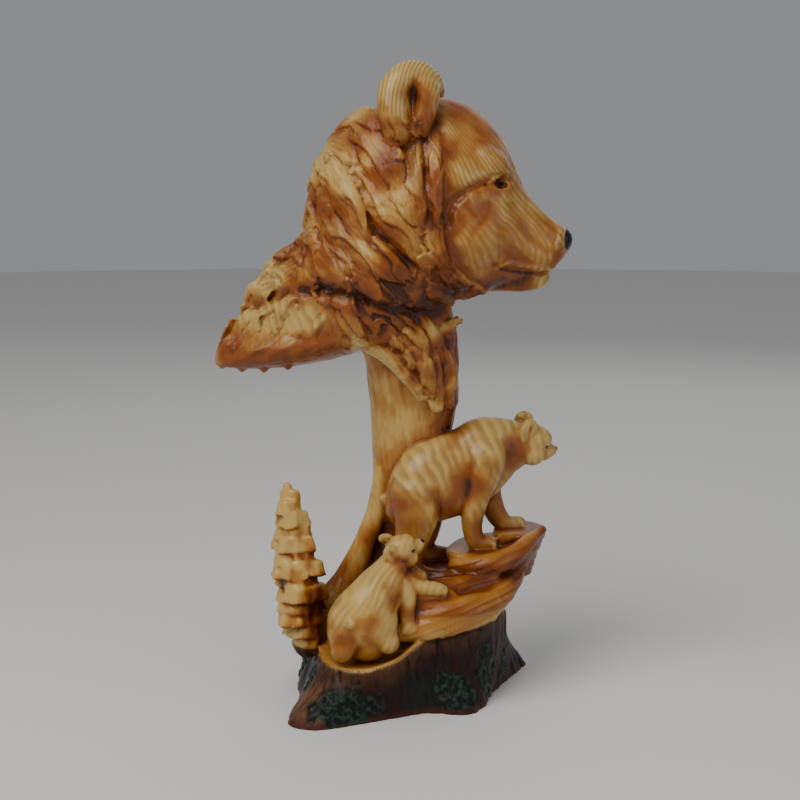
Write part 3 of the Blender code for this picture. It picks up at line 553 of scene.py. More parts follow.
# The bear's head and shaggy neck, with the ruff that sweeps down behind
def carveBust():
    core = carveBustCore()
    skin = skinOf(core)
    form = shape(core)
    # half as thick as in the solid, so that the ruff's locks stay apart
    thinRuff = [(*row[:5], row[5] * 0.5) for row in bust["ruffRows"]]
    for side in (-1, 1):
        ear(form, bust["ear"], side)
        look = Vector((0, -side, 0))
        lockRows(form, skin, bust["neckRows"], look, 4 - side)
        lockRows(form, skin, thinRuff, look, 9 - side)
        for (x, y, z), drop, radius in bust["tufts"]:
            top, tip = (x + 3, side * y, z + 5), (x - 3, side * y, z - drop)
            limb(form, ((top, radius), ((x, side * y, z), radius), (tip, 2.0)))
        for fold in bust["collarFolds"] + bust["jawTufts"]:
            limb(form, [((x, -side * y, z), radius) for (x, y, z), radius in fold])
        filling = []
        for x, z in ruffFilling["line"]:
            near = skin.find_nearest(Vector((x, side * ruffFilling["side"], z)))[0]
            filling.append((near, ruffFilling["radius"]))
        limb(form, filling)
    lockRows(form, skin, bust["napeRows"], Vector((1, 0, 0)), 13)
    limb(form, bust["collarSpur"])
    mesh = clay(form, bustGrain, 0.6)
    skin, form = skinOf(mesh), shape(mesh)
    for side in (-1, 1):
        lockRows(form, skin, bust["collarRows"], Vector((0, -side, 0)), 21 - side)
        faceDetail(form, skin, side)
    mesh = clay(form, bustGrain, 0.0)
    for side in (-1, 1):
        path, half, depth = bust["cheekLine"]
        groove(mesh, (path, half * faceLook["cheekWide"], depth * faceLook["cheekDeep"]), side)
        for line in faceLook["lines"]:
            groove(mesh, line, side)
    return mesh


# The matrix that sets a small head on its figure
def headPlace(spec):
    aim = Euler([math.radians(a) for a in (spec["roll"], -spec["pitch"], spec["turn"])])
    return Matrix.Translation(spec["at"]) @ aim.to_matrix().to_4x4() @ Matrix.Scale(spec["size"], 4)


smallHead = {
    # A small bear's head with its nose along +X: middle and radii. Those off the middle are mirrored
    "masses": (
        ((-0.5, 0, 0.8), (9.6, 8.6, 9.0)),  # skull
        ((4.4, 0, 3.0), (5.4, 6.4, 5.0)),  # forehead
        ((0.6, -5.0, -4.4), (6.4, 4.6, 5.6)),  # cheek
        ((7.8, 0, -2.6), (6.0, 4.2, 4.0)),  # muzzle
        ((6.2, 0, -5.8), (5.4, 3.5, 2.6)),  # jaw
        ((6.4, -3.4, 2.0), (2.6, 2.2, 1.6)),  # brow
        ((12.9, 0, -1.0), (1.5, 1.9, 1.6)),  # nose
    ),
    "smallEar": {"at": (-5.2, -6.0, 8.6), "scale": 0.27, "tilt": -14.0},
}


# A small bear's head, set on a figure
def carveSmallHead(spec):
    form = shape()
    mirrored(form, smallHead["masses"])
    form = shape(clay(form, 0.6, 0.4))
    for side in (-1, 1):
        ear(form, smallHead["smallEar"], side)
    form.transform(headPlace(spec))
    mesh = bpy.data.meshes.new("head")
    form.to_mesh(mesh)
    form.free()
    return mesh


# Adds four toes at the end of a leg
def toes(form, path, reach):
    (back, _), (tip, radius) = path[-2:]
    ahead = (Vector(tip) - Vector(back)).normalized()
    across = ahead.cross(Vector((0, 0, 1))).normalized()
    for k in (-1.5, -0.5, 0.5, 1.5):
        place = Vector(tip) + across * k * radius * 0.5 + ahead * reach - Vector((0, 0, radius * 0.25))
        ball(form, place, [radius * 0.42] * 3)


adult = {
    "grid": {"length": 92.0, "seat": (30.0, -6.0, 72.0)},
    # Adult: place along X, belly, back, half width, share of the height where it is widest
    "stations": (
        (-7, 98, 109, 5.0, 0.5), (-3, 92, 121, 10.0, 0.5), (3, 90, 130.5, 13.5, 0.5),
        (11, 90, 136.5, 15.0, 0.5), (21, 93, 140, 15.5, 0.45), (30, 95, 142, 15.0, 0.45),
        (38, 97, 146.5, 14.5, 0.5), (46, 101, 148.5, 13.5, 0.5), (53, 106, 148, 12.0, 0.5),
        (59, 112, 147, 10.0, 0.5), (64, 118, 146, 9.5, 0.5), (70, 122, 144, 9.0, 0.5),
    ),
    "legs": (
        (
            ((7, -7, 110), 13.5), ((7, -9, 99), 12.5), ((5, -10, 89), 9.8), ((3, -10, 80), 8.0),
            ((4, -10, 71), 6.6), ((9, -10, 67), 5.6), ((14, -10, 66), 4.4),
        ),
        (
            ((13, 7, 106), 12.0), ((17, 8, 95), 9.6), ((17, 8, 86), 7.2), ((15, 8, 78), 6.0),
            ((20, 8, 74), 5.2), ((27, 8, 73), 4.2),
        ),
        (
            ((45, -6, 128), 12.0), ((42, -8, 117), 10.5), ((39.5, -9, 107), 7.8), ((38, -9, 97), 6.2),
            ((38, -9, 89), 5.4), ((41, -9, 82.5), 5.2), ((47.5, -9, 81.5), 4.2),
        ),
        (
            ((51, 6, 120), 10.0), ((51, 7, 108), 7.8), ((54, 7, 98), 6.4), ((58, 7, 91), 5.6),
            ((62, 7, 88), 4.8), ((69, 7, 88), 3.9),
        ),
    ),
    "head": {"at": (73.2, 0, 133.6), "size": 1.1, "pitch": -12.0, "turn": -2.0, "roll": 14.0},
}


# The walking adult bear
def carveAdult():
    form = shape()
    longLoft(form, adult["stations"])
    for leg in adult["legs"]:
        limb(form, leg)
        toes(form, leg, 1.6)
    ball(form, (-8, 0, 106), (3, 2.5, 4))
    return clay(shape(clay(form, figureGrain, 1.0), carveSmallHead(adult["head"])), figureGrain, 0.4)


cub = {
    "grid": {"height": 60.0, "seat": (-20.0, -46.0, 34.0)},
    "body": (
        ((-17, -43, 41), 13.0), ((-21, -45, 50), 16.0), ((-16, -46, 58), 15.0), ((-9, -42, 68), 12.5),
        ((-4, -38, 76), 9.0), ((0, -36, 83), 6.5),
    ),
    "limbs": (
        (((-26, -48, 51), 11.5), ((-28, -51, 43), 10.0), ((-29.5, -55, 37), 6.0)),
        (((-14, -47, 52), 13.0), ((-10, -49, 45), 11.0), ((-6, -51, 40), 6.0)),
        (((-4, -40, 72), 7.5), ((3, -42, 62), 5.6), ((4, -42, 53), 4.6), ((5, -43, 47), 4.2)),
        (((-2, -38, 72), 6.5), ((8, -38, 66), 4.8), ((19, -39, 65), 4.0), ((22, -39, 64.5), 3.2)),
        (((-2, -33, 78), 6.0), ((6, -33, 72), 4.6), ((11, -34, 70), 3.6)),
    ),
    "head": {"at": (1.0, -37, 85.5), "size": 0.88, "pitch": 28.0, "turn": -6.0, "roll": 40.0},
}


# The cub, climbing with its back to the near side
def carveCub():
    form = shape()
    limb(form, cub["body"])
    for leg in cub["limbs"]:
        limb(form, leg)
    for leg in cub["limbs"][2:]:
        toes(form, leg, 1.0)
    ball(form, (-25, -60, 52), (2.6, 2.6, 2.6))
    return clay(shape(clay(form, figureGrain, 1.3), carveSmallHead(cub["head"])), figureGrain, 0.4)


pine = {
    "grid": {"height": 80.0, "seat": (-50.0, -28.0, 38.0)},
    # Pine: height and reach of each tier of branches, foot to tip
    "tiers": (
        (42, 11), (48.5, 13), (55, 12.5), (61, 13.5), (67.5, 11.5), (74, 13), (80.5, 11), (87, 12),
        (93.5, 9), (100, 9.5), (106, 7), (111, 5.5),
    ),
    "tip": (-58.5, -28, 118),
    "core": (((-48, -26, 34), 8.5), ((-51, -28, 60), 9.0), ((-56, -28, 95), 7.0), ((-58.5, -28, 117), 2.4)),
}


# The pine: ragged tiers of branches, each wider at its lower edge
def carvePine():
    form = shape()
    draw = random.Random(11)
    foot, tip = Vector(pine["grid"]["seat"]), Vector(pine["tip"])
    for z, reach in pine["tiers"]:
        middle = foot.lerp(tip, (z - foot.z) / (tip.z - foot.z))
        middle += Vector((draw.uniform(-1.2, 1.2), draw.uniform(-1.2, 1.2), 0))
        phase, lobes = draw.uniform(0, 6.28), draw.choice((2, 3, 4))
        spot = Matrix.Translation(middle)
        size = {"segments": 18, "radius1": reach, "radius2": reach * 0.8, "depth": 8.0}
        tier = bmesh.ops.create_cone(form, cap_ends=True, matrix=spot, **size)
        for vertex in tier["verts"]:
            arm = vertex.co - middle
            angle = math.atan2(arm.y, arm.x)
            swell = 1 + 0.16 * math.sin(lobes * angle + phase) + draw.uniform(-0.1, 0.1)
            lift = draw.uniform(-1.0, 1.0)
            vertex.co = middle + Vector((arm.x * swell, arm.y * swell * 0.85, arm.z + lift))
    limb(form, pine["core"])
    return clay(form, figureGrain, 0.8)


# Takes a figure's grid to metres: its seat goes to place, turned about Z in degrees
def gridMatrix(unit, seat, place, turn=0.0):
    spin = Matrix.Rotation(math.radians(turn), 4, "Z")
    scale = unit if isinstance(unit, Vector) else Vector((unit, unit, unit))
    grow = Matrix.Diagonal((*scale, 1.0))
    return Matrix.Translation(place) @ spin @ grow @ Matrix.Translation(-Vector(seat))


cast = {
    # Driving dimensions, in metres
    "stumpWidth": 0.130,  # across the roots, along X
    "stumpDepth": 0.140,  # across the roots, along Y
    "stumpHeight": 0.028,  # foot to the lowest point of the rim
    "rockHeight": 0.058,  # lowest point of the rim to the top ledge
    "trunkHeight": 0.162,  # lowest point of the rim to where the bust sits on it
    "trunkWidth": 0.046,  # across the trunk under the bust
    "bustLength": 0.187,  # tip of the nose to the tip of the ruff
    "adultLength": 0.092,  # rump to nose
    "cubHeight": 0.060,  # hind foot to the top of the head
    "pineHeight": 0.080,  # foot to tip
    "footTrim": 0.0006,  # cut off the casting's underside to make it flat
    "headTurn": -4.0,  # degrees that the bust looks towards the near side
    "adultTurn": 14.0,  # degrees that the adult walks away from it
}


# The matrix that sets each figure on what carries it
def placings():
    across, deep = cast["stumpWidth"] / stump["grid"]["width"], cast["stumpDepth"] / stump["grid"]["depth"]
    rise = cast["rockHeight"] / rock["gridHeight"]
    foot = stump["grid"]["height"]
    rim = Vector((0, 0, cast["stumpHeight"]))
    wide = cast["trunkWidth"] / trunk["grid"]["width"]

    def onRock(grid, unit, turn=0.0):
        x, y, z = grid["seat"]
        return gridMatrix(unit, grid["seat"], rim + Vector((x * across, y * deep, (z - foot) * rise)), turn)

    trunkUnits = Vector((wide, wide, cast["trunkHeight"] / trunk["grid"]["height"]))
    bustSeat = rim + Vector((0, 0, cast["trunkHeight"]))
    stumpUnits = Vector((across, deep, cast["stumpHeight"] / foot))
    bustUnit = cast["bustLength"] / bust["grid"]["length"]
    adultUnit = cast["adultLength"] / adult["grid"]["length"]
    places = {carveStump: gridMatrix(stumpUnits, (0, 0, 0), Vector())}
    places[carveRock] = gridMatrix(Vector((across, deep, rise)), (0, 0, foot), rim)
    places[carveTrunk] = gridMatrix(trunkUnits, (0, 0, foot), rim)
    places[carveBust] = gridMatrix(bustUnit, bust["grid"]["seat"], bustSeat, cast["headTurn"])
    places[carveAdult] = onRock(adult["grid"], adultUnit, cast["adultTurn"])
    places[carveCub] = onRock(cub["grid"], cast["cubHeight"] / cub["grid"]["height"])
    places[carvePine] = onRock(pine["grid"], cast["pineHeight"] / pine["grid"]["height"])
    return places


# Cuts the underside off flat and sets the origin under the middle of the mesh's box. Gives how far it moved
def flatFoot(mesh):
    form = shape(mesh)
    everything = form.verts[:] + form.edges[:] + form.faces[:]
    cut = Vector((0, 0, cast["footTrim"]))
    bmesh.ops.bisect_plane(form, geom=everything, plane_co=cut, plane_no=(0, 0, -1), clear_outer=True)
    bmesh.ops.holes_fill(form, edges=[e for e in form.edges if e.is_boundary])
    bmesh.ops.triangulate(form, faces=form.faces)
    form.to_mesh(mesh)
    form.free()
    points = pointsOf(mesh)
    move = -(points.min(axis=0) + points.max(axis=0)) / 2
    move[2] = -points[:, 2].min()
    mesh.transform(Matrix.Translation(move))
    return move


# Where the ruff is filled under its locks: places in the side view, tube radius and sideways start
ruffFilling = {"line": ((-72, 216), (-67, 212), (-60, 209)), "radius": 2.6, "side": 30}

# Fine forms of the face, as places in the side view: the eye with its radius and how far it stands out,
# how much wider and shallower the cheek's line is, lids and lip as tubes on the skin, and fine lines
faceLook = {
    "eye": (52.6, 272.4, 2.7), "eyeOut": 1.9, "cheekWide": 1.4, "cheekDeep": 0.4,
    "lids": (
        (((46.5, 272.6), 0.9), ((49.6, 275.4), 1.3), ((53.6, 275.6), 1.3), ((57.0, 272.4), 0.9)),
        (((47.0, 271.8), 0.7), ((50.4, 269.6), 1.1), ((54.0, 269.2), 1.1), ((57.0, 271.0), 0.8)),
    ),
    "lip": (
        ((51.0, 229.5), 1.0), ((56.0, 232.5), 1.3), ((63.0, 231.2), 1.5), ((72.0, 229.4), 1.5),
        ((80.0, 229.5), 1.2),
    ),
    "wing": (((80.5, 238.5), 0.9), ((82.6, 243.0), 1.4), ((82.8, 248.0), 1.0)),
    "lines": (
        (((52, 230), (58, 227.6), (66, 226.2), (74, 225.6), (82, 227.0)), 1.3, 1.1),
        (((50, 274.4), (44, 273), (37, 269.8), (31, 264.5)), 2.2, 0.5),
        (((46, 262), (43, 254), (38, 246)), 3.2, 0.7),
        (((58, 262), (64, 252), (70, 243), (76, 238)), 3.4, 0.7), (((84, 238.5), (86.5, 240.5)), 1.2, 1.0),
    ),
}


# Adds the eye, its lids, the lip and the nostril's wing on one side
def faceDetail(form, skin, side):
    def onSkin(x, z):
        return skin.ray_cast(Vector((x, side * 200, z)), Vector((0, -side, 0)))[0]

    x, z, radius = faceLook["eye"]
    spot = onSkin(x, z)
    ball(form, (x, spot.y - side * (radius - faceLook["eyeOut"]), z), (radius, radius, radius))
    for path in (*faceLook["lids"], faceLook["lip"], faceLook["wing"]):
        limb(form, [(onSkin(x, z), radius) for (x, z), radius in path])


# Smooth noise from -1 to 1 at an array of points, with features of the given size
def noiseAt(points, size, seed):
    lattice = np.random.default_rng(seed).uniform(-1, 1, (32, 32, 32))
    place = points / size + 100
    cell = np.floor(place).astype(int)
    share = place - cell
    share = share * share * (3 - 2 * share)
    total = np.zeros(len(points))
    for dx in (0, 1):
        for dy in (0, 1):
            for dz in (0, 1):
                weight = 1.0
                for k, d in enumerate((dx, dy, dz)):
                    weight = weight * (share[:, k] if d else 1 - share[:, k])
                total += weight * lattice[tuple(((cell + (dx, dy, dz)) % 32).T)]
    return total


# Noise drawn out into strokes along the carving: points and sizes in millimetres
def strokesAt(points, ways, size, length, seed):
    steps = np.linspace(-length, length, max(7, round(2 * length / size)))
    total = sum(noiseAt(points + ways * step, size, seed) for step in steps)
    return total / np.std(total)


# Planes that rise slowly and drop at a crisp edge, from 0 to 1, as the value grows by one from edge to edge
def planesAt(values, drop):
    share = values - np.floor(values)
    return np.where(share < 1 - drop, share / (1 - drop), (1 - share) / drop)


# Breaks a smooth value into flat steps with a steep riser between them
def terraces(values, steep):
    whole = np.floor(values)
    return whole + smoothStep(values - whole, 1 - steep, 1.0)


# Rises smoothly from 0 to 1 between two values
def smoothStep(values, low, high):
    share = np.clip((values - low) / (high - low), 0, 1)
    return share * share * (3 - 2 * share)


# How deep each point lies under the level of its surroundings, in millimetres, over a number of rounds
def hollowness(mesh, points, normals, rounds):
    links = np.empty(2 * len(mesh.edges), dtype=np.int64)
    mesh.edges.foreach_get("vertices", links)
    a, b = links.reshape(-1, 2).T
    count = len(points)
    total = np.bincount(a, minlength=count) + np.bincount(b, minlength=count) + 1e-9
    level = points.copy()
    for _ in range(rounds):
        for k in range(3):
            near = np.bincount(a, level[b, k], count) + np.bincount(b, level[a, k], count)
            level[:, k] = 0.4 * level[:, k] + 0.6 * near / total
    return ((level - points) * normals).sum(axis=1) * 1000


# The points taken back to a figure's own grid, in millimetres
def onGrid(points, place):
    back = np.array(place.inverted())
    return points @ back[:3, :3].T + back[:3, 3]


# The stump's side: how far out a point lies as a share of the rim's reach, how far under it, and its angle
def stumpSkirt(grid):
    middle = np.array(stump["middle"])
    angle = np.degrees(np.arctan2(grid[:, 1] - middle[1], grid[:, 0] - middle[0]))
    rows = stump["outline"]
    turns = [a + turn for turn in (-360, 0, 360) for a, *_ in rows]
    reach = np.interp(angle, turns, [row[2] for row in rows] * 3)
    lift = np.interp(angle, turns, [row[3] for row in rows] * 3)
    out = np.hypot(grid[:, 0] - middle[0], grid[:, 1] - middle[1]) / reach
    return out, stump["grid"]["height"] + lift - grid[:, 2], angle


# How near a figure's skin a point belongs to it, in metres: search, wholly its own, and the fade beyond
ownSkin = {"search": 0.002, "whole": 0.0005, "fade": 0.0012}


# Whether each point lies on a figure's own skin, from 0 to 1
def belongsTo(points, skin, box):
    low, high = box
    margin = ownSkin["search"]
    near = np.flatnonzero(((points > low - margin) & (points < high + margin)).all(axis=1))
    share = np.zeros(len(points))
    for i in near:
        reach = skin.find_nearest(points[i], margin)[3]
        if reach is not None:
            share[i] = 1 - min(1.0, max(0.0, reach - ownSkin["whole"]) / ownSkin["fade"])
    return share


# Which part of the statue each point belongs to, from 0 to 1, and the way its carving runs
def regionsOf(points, normals, places, skins):
    head, foot = (onGrid(points, places[figure]) for figure in (carveBust, carveStump))
    out, under, angle = stumpSkirt(foot)
    marks = {"under": under, "angle": angle, "head": head, "foot": foot}
    marks["bark"] = smoothStep(under, 1.0, 2.6) * smoothStep(out, 0.84, 0.93)
    hem = np.interp(head[:, 0], (-100, -27, -22, -10, 0, 10, 30), (165, 168, 196, 190, 178, 162, 152))
    fur = smoothStep(head[:, 2] - hem, -2, 3)
    edge = np.interp(head[:, 2], (205, 225, 250, 285, 300), (60, 34, 27, 24, 14))
    marks["fur"] = fur * smoothStep(edge - head[:, 0], -1.5, 2.5) * (1 - smoothStep(head[:, 2], 302, 308))
    marks["face"] = fur * smoothStep(head[:, 2], 206, 214) * (1 - marks["fur"])
    for figure, name in ((carvePine, "tree"), (carveAdult, "adult"), (carveCub, "cub")):
        marks[name] = belongsTo(points, *skins[figure])
    alive = np.maximum.reduce([marks["tree"], marks["adult"], marks["cub"]])
    marks["column"] = belongsTo(points, *skins[carveTrunk]) * (1 - fur) * (1 - alive)
    bare = (1 - smoothStep(foot[:, 2], 88, 92)) * (1 - marks["bark"])
    marks["rock"] = bare * (1 - alive) * (1 - marks["column"])
    flow = np.zeros_like(points)
    for (x, z), (dx, dz) in bust["fur"]:
        near = 1 / ((head[:, 0] - x) ** 2 + (head[:, 2] - z) ** 2 + 4) ** 2
        flow += near[:, None] * np.array([dx, 0, dz])
    flow /= np.linalg.norm(flow, axis=1)[:, None] + 1e-12
    ways = marks["fur"][:, None] * flow + marks["face"][:, None] * np.array([0.72, 0.0, -0.69])
    ways += (1 - fur)[:, None] * np.array([0.1, 0.0, -1.0])
    ways -= normals * (ways * normals).sum(axis=1)[:, None]
    marks["ways"] = ways / (np.linalg.norm(ways, axis=1)[:, None] + 1e-9)
    return marks


# How the face's grain bends in the side view, from the throat to the crown: height and place along the head
grainBend = (
    (205, 80), (220, 84), (228, 87), (236, 89), (244, 88), (252, 82), (262, 73), (272, 66), (281, 60),
    (290, 50), (300, 34), (310, 14), (320, -6), (330, -20),
)


# How far apart the rings lie, in millimetres
ringGap = {"face": 1.45, "ear": 2.0, "trunk": 5.2, "adult": 5.4, "cub": 3.6}


# Growth rings drawn on the head and on the bodies, as a number that rises by one from line to line
def turnsOf(marks, points, places):
    x, y, z = marks["head"].T
    heights = np.linspace(195, 335, 141)
    outline = np.interp(heights, *zip(*grainBend))
    outline = np.convolve(np.pad(outline, 6, "edge"), np.ones(13) / 13, "valid")
    share = 0.25 + 0.45 * np.clip((x - 15) / 70, 0, 1)
    face = (x - np.interp(z, heights, outline) * share + 0.1 * np.abs(y)) / ringGap["face"]
    ear = np.hypot(x - 34, 0.8 * (z - 311)) / ringGap["ear"]
    onEar = (z > 304) & (x < 24) & (np.abs(y) > 17)
    body = (x + 0.3 * z) / ringGap["trunk"]
    along, _, high = onGrid(points, places[carveAdult]).T
    turns = (along + 0.5 * high - 0.006 * (high - 120) ** 2) / ringGap["adult"]
    body = np.where(marks["adult"] > 0.5, turns, body)
    along, _, high = onGrid(points, places[carveCub]).T
    turns = (along * 0.9 - 0.55 * high) / ringGap["cub"]
    body = np.where(marks["cub"] > 0.5, turns, body)
    return np.where(onEar, ear, face), body, np.maximum(marks["face"], onEar)


# Where moss grows on the bark: middle as angle and height on the stump, and radii
mossClumps = (
    (-117, 9, 15, 9), (-60, 12, 15, 9), (-26, 17, 15, 15), (-150, 18, 9, 9), (12, 14, 10, 8),
    (48, 12, 12, 8), (86, 18, 16, 10), (130, 10, 14, 8), (168, 16, 14, 10),
)


# How mossy each point is, from 0 to 1
def mossAt(marks, points):
    moss = np.zeros(len(points))
    height = marks["foot"][:, 2]
    wobble = noiseAt(points * 1000, 5.0, 31) * 0.35
    for angle, middle, wide, tall in mossClumps:
        apart = (marks["angle"] - angle + 180) % 360 - 180
        reach = np.hypot(apart / wide, (height - middle) / tall) + wobble
        moss = np.maximum(moss, 1 - smoothStep(reach, 0.8, 1.05))
    return moss * marks["bark"]


# How far apart the planes, the tufts and the rock's thick and thin layers lie, in millimetres
spacing = {"chisel": 12.5, "tuft": 4.4, "strata": 4.4, "thinStrata": 1.5}
# How strongly each kind of carving is cut, in millimetres
relief = {
    "chisel": 1.4, "tuft": 0.36, "hair": 0.07, "collar": 0.8, "face": 0.10, "strata": 0.45, "column": 0.25,
    "bark": 0.7, "moss": 0.9, "branch": 0.5,
}


# Cuts the carving into the casting, each kind on its own part of the statue
def cutRelief(mesh, places, skins):
    points, normals = pointsOf(mesh), normalsOf(mesh)
    marks = regionsOf(points, normals, places, skins)
    place, ways = points * 1000, marks["ways"]
    fur, head = marks["fur"], marks["head"]
    ruff = smoothStep(-head[:, 0], 16, 34) * (1 - smoothStep(head[:, 2] + 0.5 * head[:, 0], 184, 196))
    move = np.zeros(len(points))
    # planes that slant down the neck, and upright ones beside the face
    upright = smoothStep(head[:, 0], 8, 16)
    broad = strokesAt(place, ways, 15.0, 22.0, 3) * 0.45
    small = strokesAt(place, ways, 7.0, 14.0, 4) * 0.7
    for across, share in (((head[:, 0] + head[:, 2]) * 0.7, 1 - upright), (head[:, 0], upright)):
        chisel = planesAt(broad - across / spacing["chisel"], 0.12) - 0.5
        tuft = planesAt(small - across / spacing["tuft"], 0.2) - 0.5
        cut = chisel * relief["chisel"] + tuft * relief["tuft"]
        move = move + fur * (1 - 0.9 * ruff) * share * cut
    # hairs, slits between the ruff's strands, the collar's crumpled skin and the face's strokes
    hair = strokesAt(place, ways, 1.3, 9.0, 5)
    move += fur * hair * relief["hair"]
    move -= fur * ruff * (smoothStep(strokesAt(place, ways, 2.4, 10.0, 17), 0.9, 1.8) * 0.4 + 0.1)
    collar = fur * smoothStep(head[:, 0], -26, -14) * (1 - smoothStep(head[:, 2], 198, 206))
    crumple = 1 - 2 * np.abs(noiseAt(place * (1, 1, 0.6), 8.0, 6)) + 0.25 * noiseAt(place, 3.4, 7)
    move += collar * crumple * relief["collar"]
    move += marks["face"] * strokesAt(place, ways, 2.2, 7.0, 8) * relief["face"]
    # layers of the rock, and the trunk's strokes
    level = place[:, 2] - 0.30 * place[:, 0] + 2.4 * noiseAt(place * (0.5, 0.5, 1), 9.0, 9)
    layer, thin = level / spacing["strata"], level / spacing["thinStrata"]
    strata = terraces(layer, 0.3) - layer
    strata += 0.4 * (terraces(thin + 0.3, 0.4) - thin - 0.3)
    steepness = 1 - np.abs(normals[:, 2])
    move += marks["rock"] * strata * smoothStep(steepness, 0.05, 0.5) * relief["strata"] * 1.6
    move += marks["column"] * strokesAt(place, ways, 2.2, 12.0, 10) * relief["column"] * 0.5
    # ridges of the bark, clumps of moss and the pine's branch tips
    moss = mossAt(marks, points)
    ridges = strokesAt(place, ways, 2.4, 7.0, 11) + 0.6 * strokesAt(place, ways, 5.0, 12.0, 12)
    move += marks["bark"] * (1 - moss) * ridges * relief["bark"] * 0.4
    clumps = 0.3 + noiseAt(place, 2.6, 13) + 0.6 * noiseAt(place, 1.3, 14)
    move += moss * clumps * relief["moss"]
    branches = strokesAt(place, ways, 2.2, 3.0, 15) * 0.4 + 0.7 * noiseAt(place, 3.6, 16)
    move += marks["tree"] * branches * relief["branch"]
    setPoints(mesh, points + normals * (move / 1000)[:, None])


# Where more brown stain was sprayed on the bust: place in the side view, radius in mm, and strength
headStain = (
    ((-10, 305), 11, 0.77), ((-34, 299), 9, 0.51), ((-19, 295), 11, 0.59), ((-6, 279), 11, 0.72),
    ((-38, 268), 12, 0.59), ((-24, 260), 11, 0.59), ((-4, 248), 9, 0.72), ((-1, 233), 9, 0.85),
    ((18, 296), 8, 0.68), ((19, 276), 8, 0.68), ((19, 256), 8, 0.68), ((9, 262), 7, 0.51),
    ((-14, 217), 11, 0.85), ((0, 212), 11, 0.94), ((14, 207), 11, 0.94), ((-58, 240), 11, 0.59),
    ((-41, 237), 11, 0.72), ((-51, 221), 9, 0.68), ((-34, 219), 9, 0.85), ((-88, 184), 11, 0.77),
    ((-76, 186), 11, 0.77), ((-62, 186), 9, 0.68), ((-48, 190), 8, 0.77), ((-38, 190), 8, 0.77),
    ((13, 303), 6, 1.2), ((14, 316), 10, 0.95), ((16, 304), 9, 1.2), ((29, 259), 4, 0.7),
    ((35, 264), 4, 0.7), ((41, 268), 4, 0.7), ((47, 271), 4, 0.7), ((17, 305), 7, 0.8), ((13, 322), 4, 0.6),
    ((46, 262), 11, 0.4), ((44, 251), 11, 0.6), ((50, 270), 6, 0.6), ((46, 302), 13, 0.78),
    ((30, 312), 13, 0.78), ((36, 292), 12, 0.35), ((58, 286), 8, 0.5), ((40, 238), 12, 0.5),
    ((58, 232), 9, 0.5), ((62, 272), 6, 0.35), ((26, 290), 8, 0.8), ((26, 268), 8, 0.8),
    ((28, 250), 9, 0.8), ((30, 236), 9, 0.85), ((50, 222), 10, 1), ((64, 221), 9, 1), ((83, 233), 7, 0.9),
    ((57, 270), 4, 0.6), ((22, 222), 9, 1), ((-6, 204), 9, 0.51), ((24, 190), 7, 0.7), ((26, 178), 6, 0.6),
    ((6, 163), 8, 0.51), ((72, 250), 8, 0.5),
)
# Where the wood was left pale, given in the same way
headPale = (
    ((-68, 222), 10, 0.75), ((-60, 201), 12, 0.7), ((-44, 202), 10, 0.7), ((-76, 197), 9, 0.45),
    ((-33, 276), 12, 0.5), ((-24, 264), 9, 0.45), ((4, 262), 8, 0.5), ((2, 273), 7, 0.4),
    ((19, 198), 6, 0.6), ((12, 164), 7, 0.6), ((18, 248), 5, 0.4),
)
# And on the other figures, sprayed stain with painted shade under the bears' bellies and limbs and on the
# pine's right side and lower tiers: place on the figure's grid, radius and strength
figureStainAndShade = {
    carveTrunk: (
        ((28, 2, 150), 14, 1.0), ((24, 0, 132), 12, 0.9), ((-30, 0, 62), 14, 0.9), ((-10, 0, 80), 14, 1.0),
        ((-4, 0, 56), 14, 0.9),
    ),
    carveAdult: (
        ((34, -19, 114), 12, 1.2), ((24, -19, 102), 11, 1.2), ((14, -20, 110), 7, 0.8),
        ((-2, -14, 100), 16, 0.9), ((2, -16, 82), 14, 0.7), ((38, -16, 88), 12, 0.8),
        ((44, -18, 126), 7, 0.5), ((60, -8, 130), 8, 0.9), ((56, 2, 140), 5, 0.6), ((54, 6, 98), 12, 0.8),
        ((16, 6, 86), 14, 1.0), ((-4, -4, 112), 8, 0.7),
    ),
    carveCub: (
        ((-30, -62, 40), 9, 0.75), ((-34, -52, 48), 7, 0.6), ((-14, -62, 50), 8, 0.8),
        ((-4, -52, 64), 7, 0.9), ((5, -43, 55), 7, 0.6), ((1, -40, 78), 6, 0.8),
    ),
    carvePine: (
        ((-40, -34, 66), 9, 0.9), ((-45, -38, 58), 8, 0.8), ((-56, -40, 44), 8, 0.7),
        ((-50, -38, 112), 6, 0.6), ((-46, -36, 80), 6, 0.9), ((-50, -38, 96), 5, 0.7),
        ((-44, -34, 48), 11, 1.0), ((-60, -34, 58), 6, 0.5),
    ),
    carveRock: (
        ((16, -22, 62), 16, 0.8), ((66, 10, 66), 16, 0.9), ((40, -22, 66), 10, 0.8),
        ((60, -10, 72), 9, 0.9), ((-20, -40, 36), 18, 0.75), ((76, 8, 82), 8, 0.7),
    ),
}
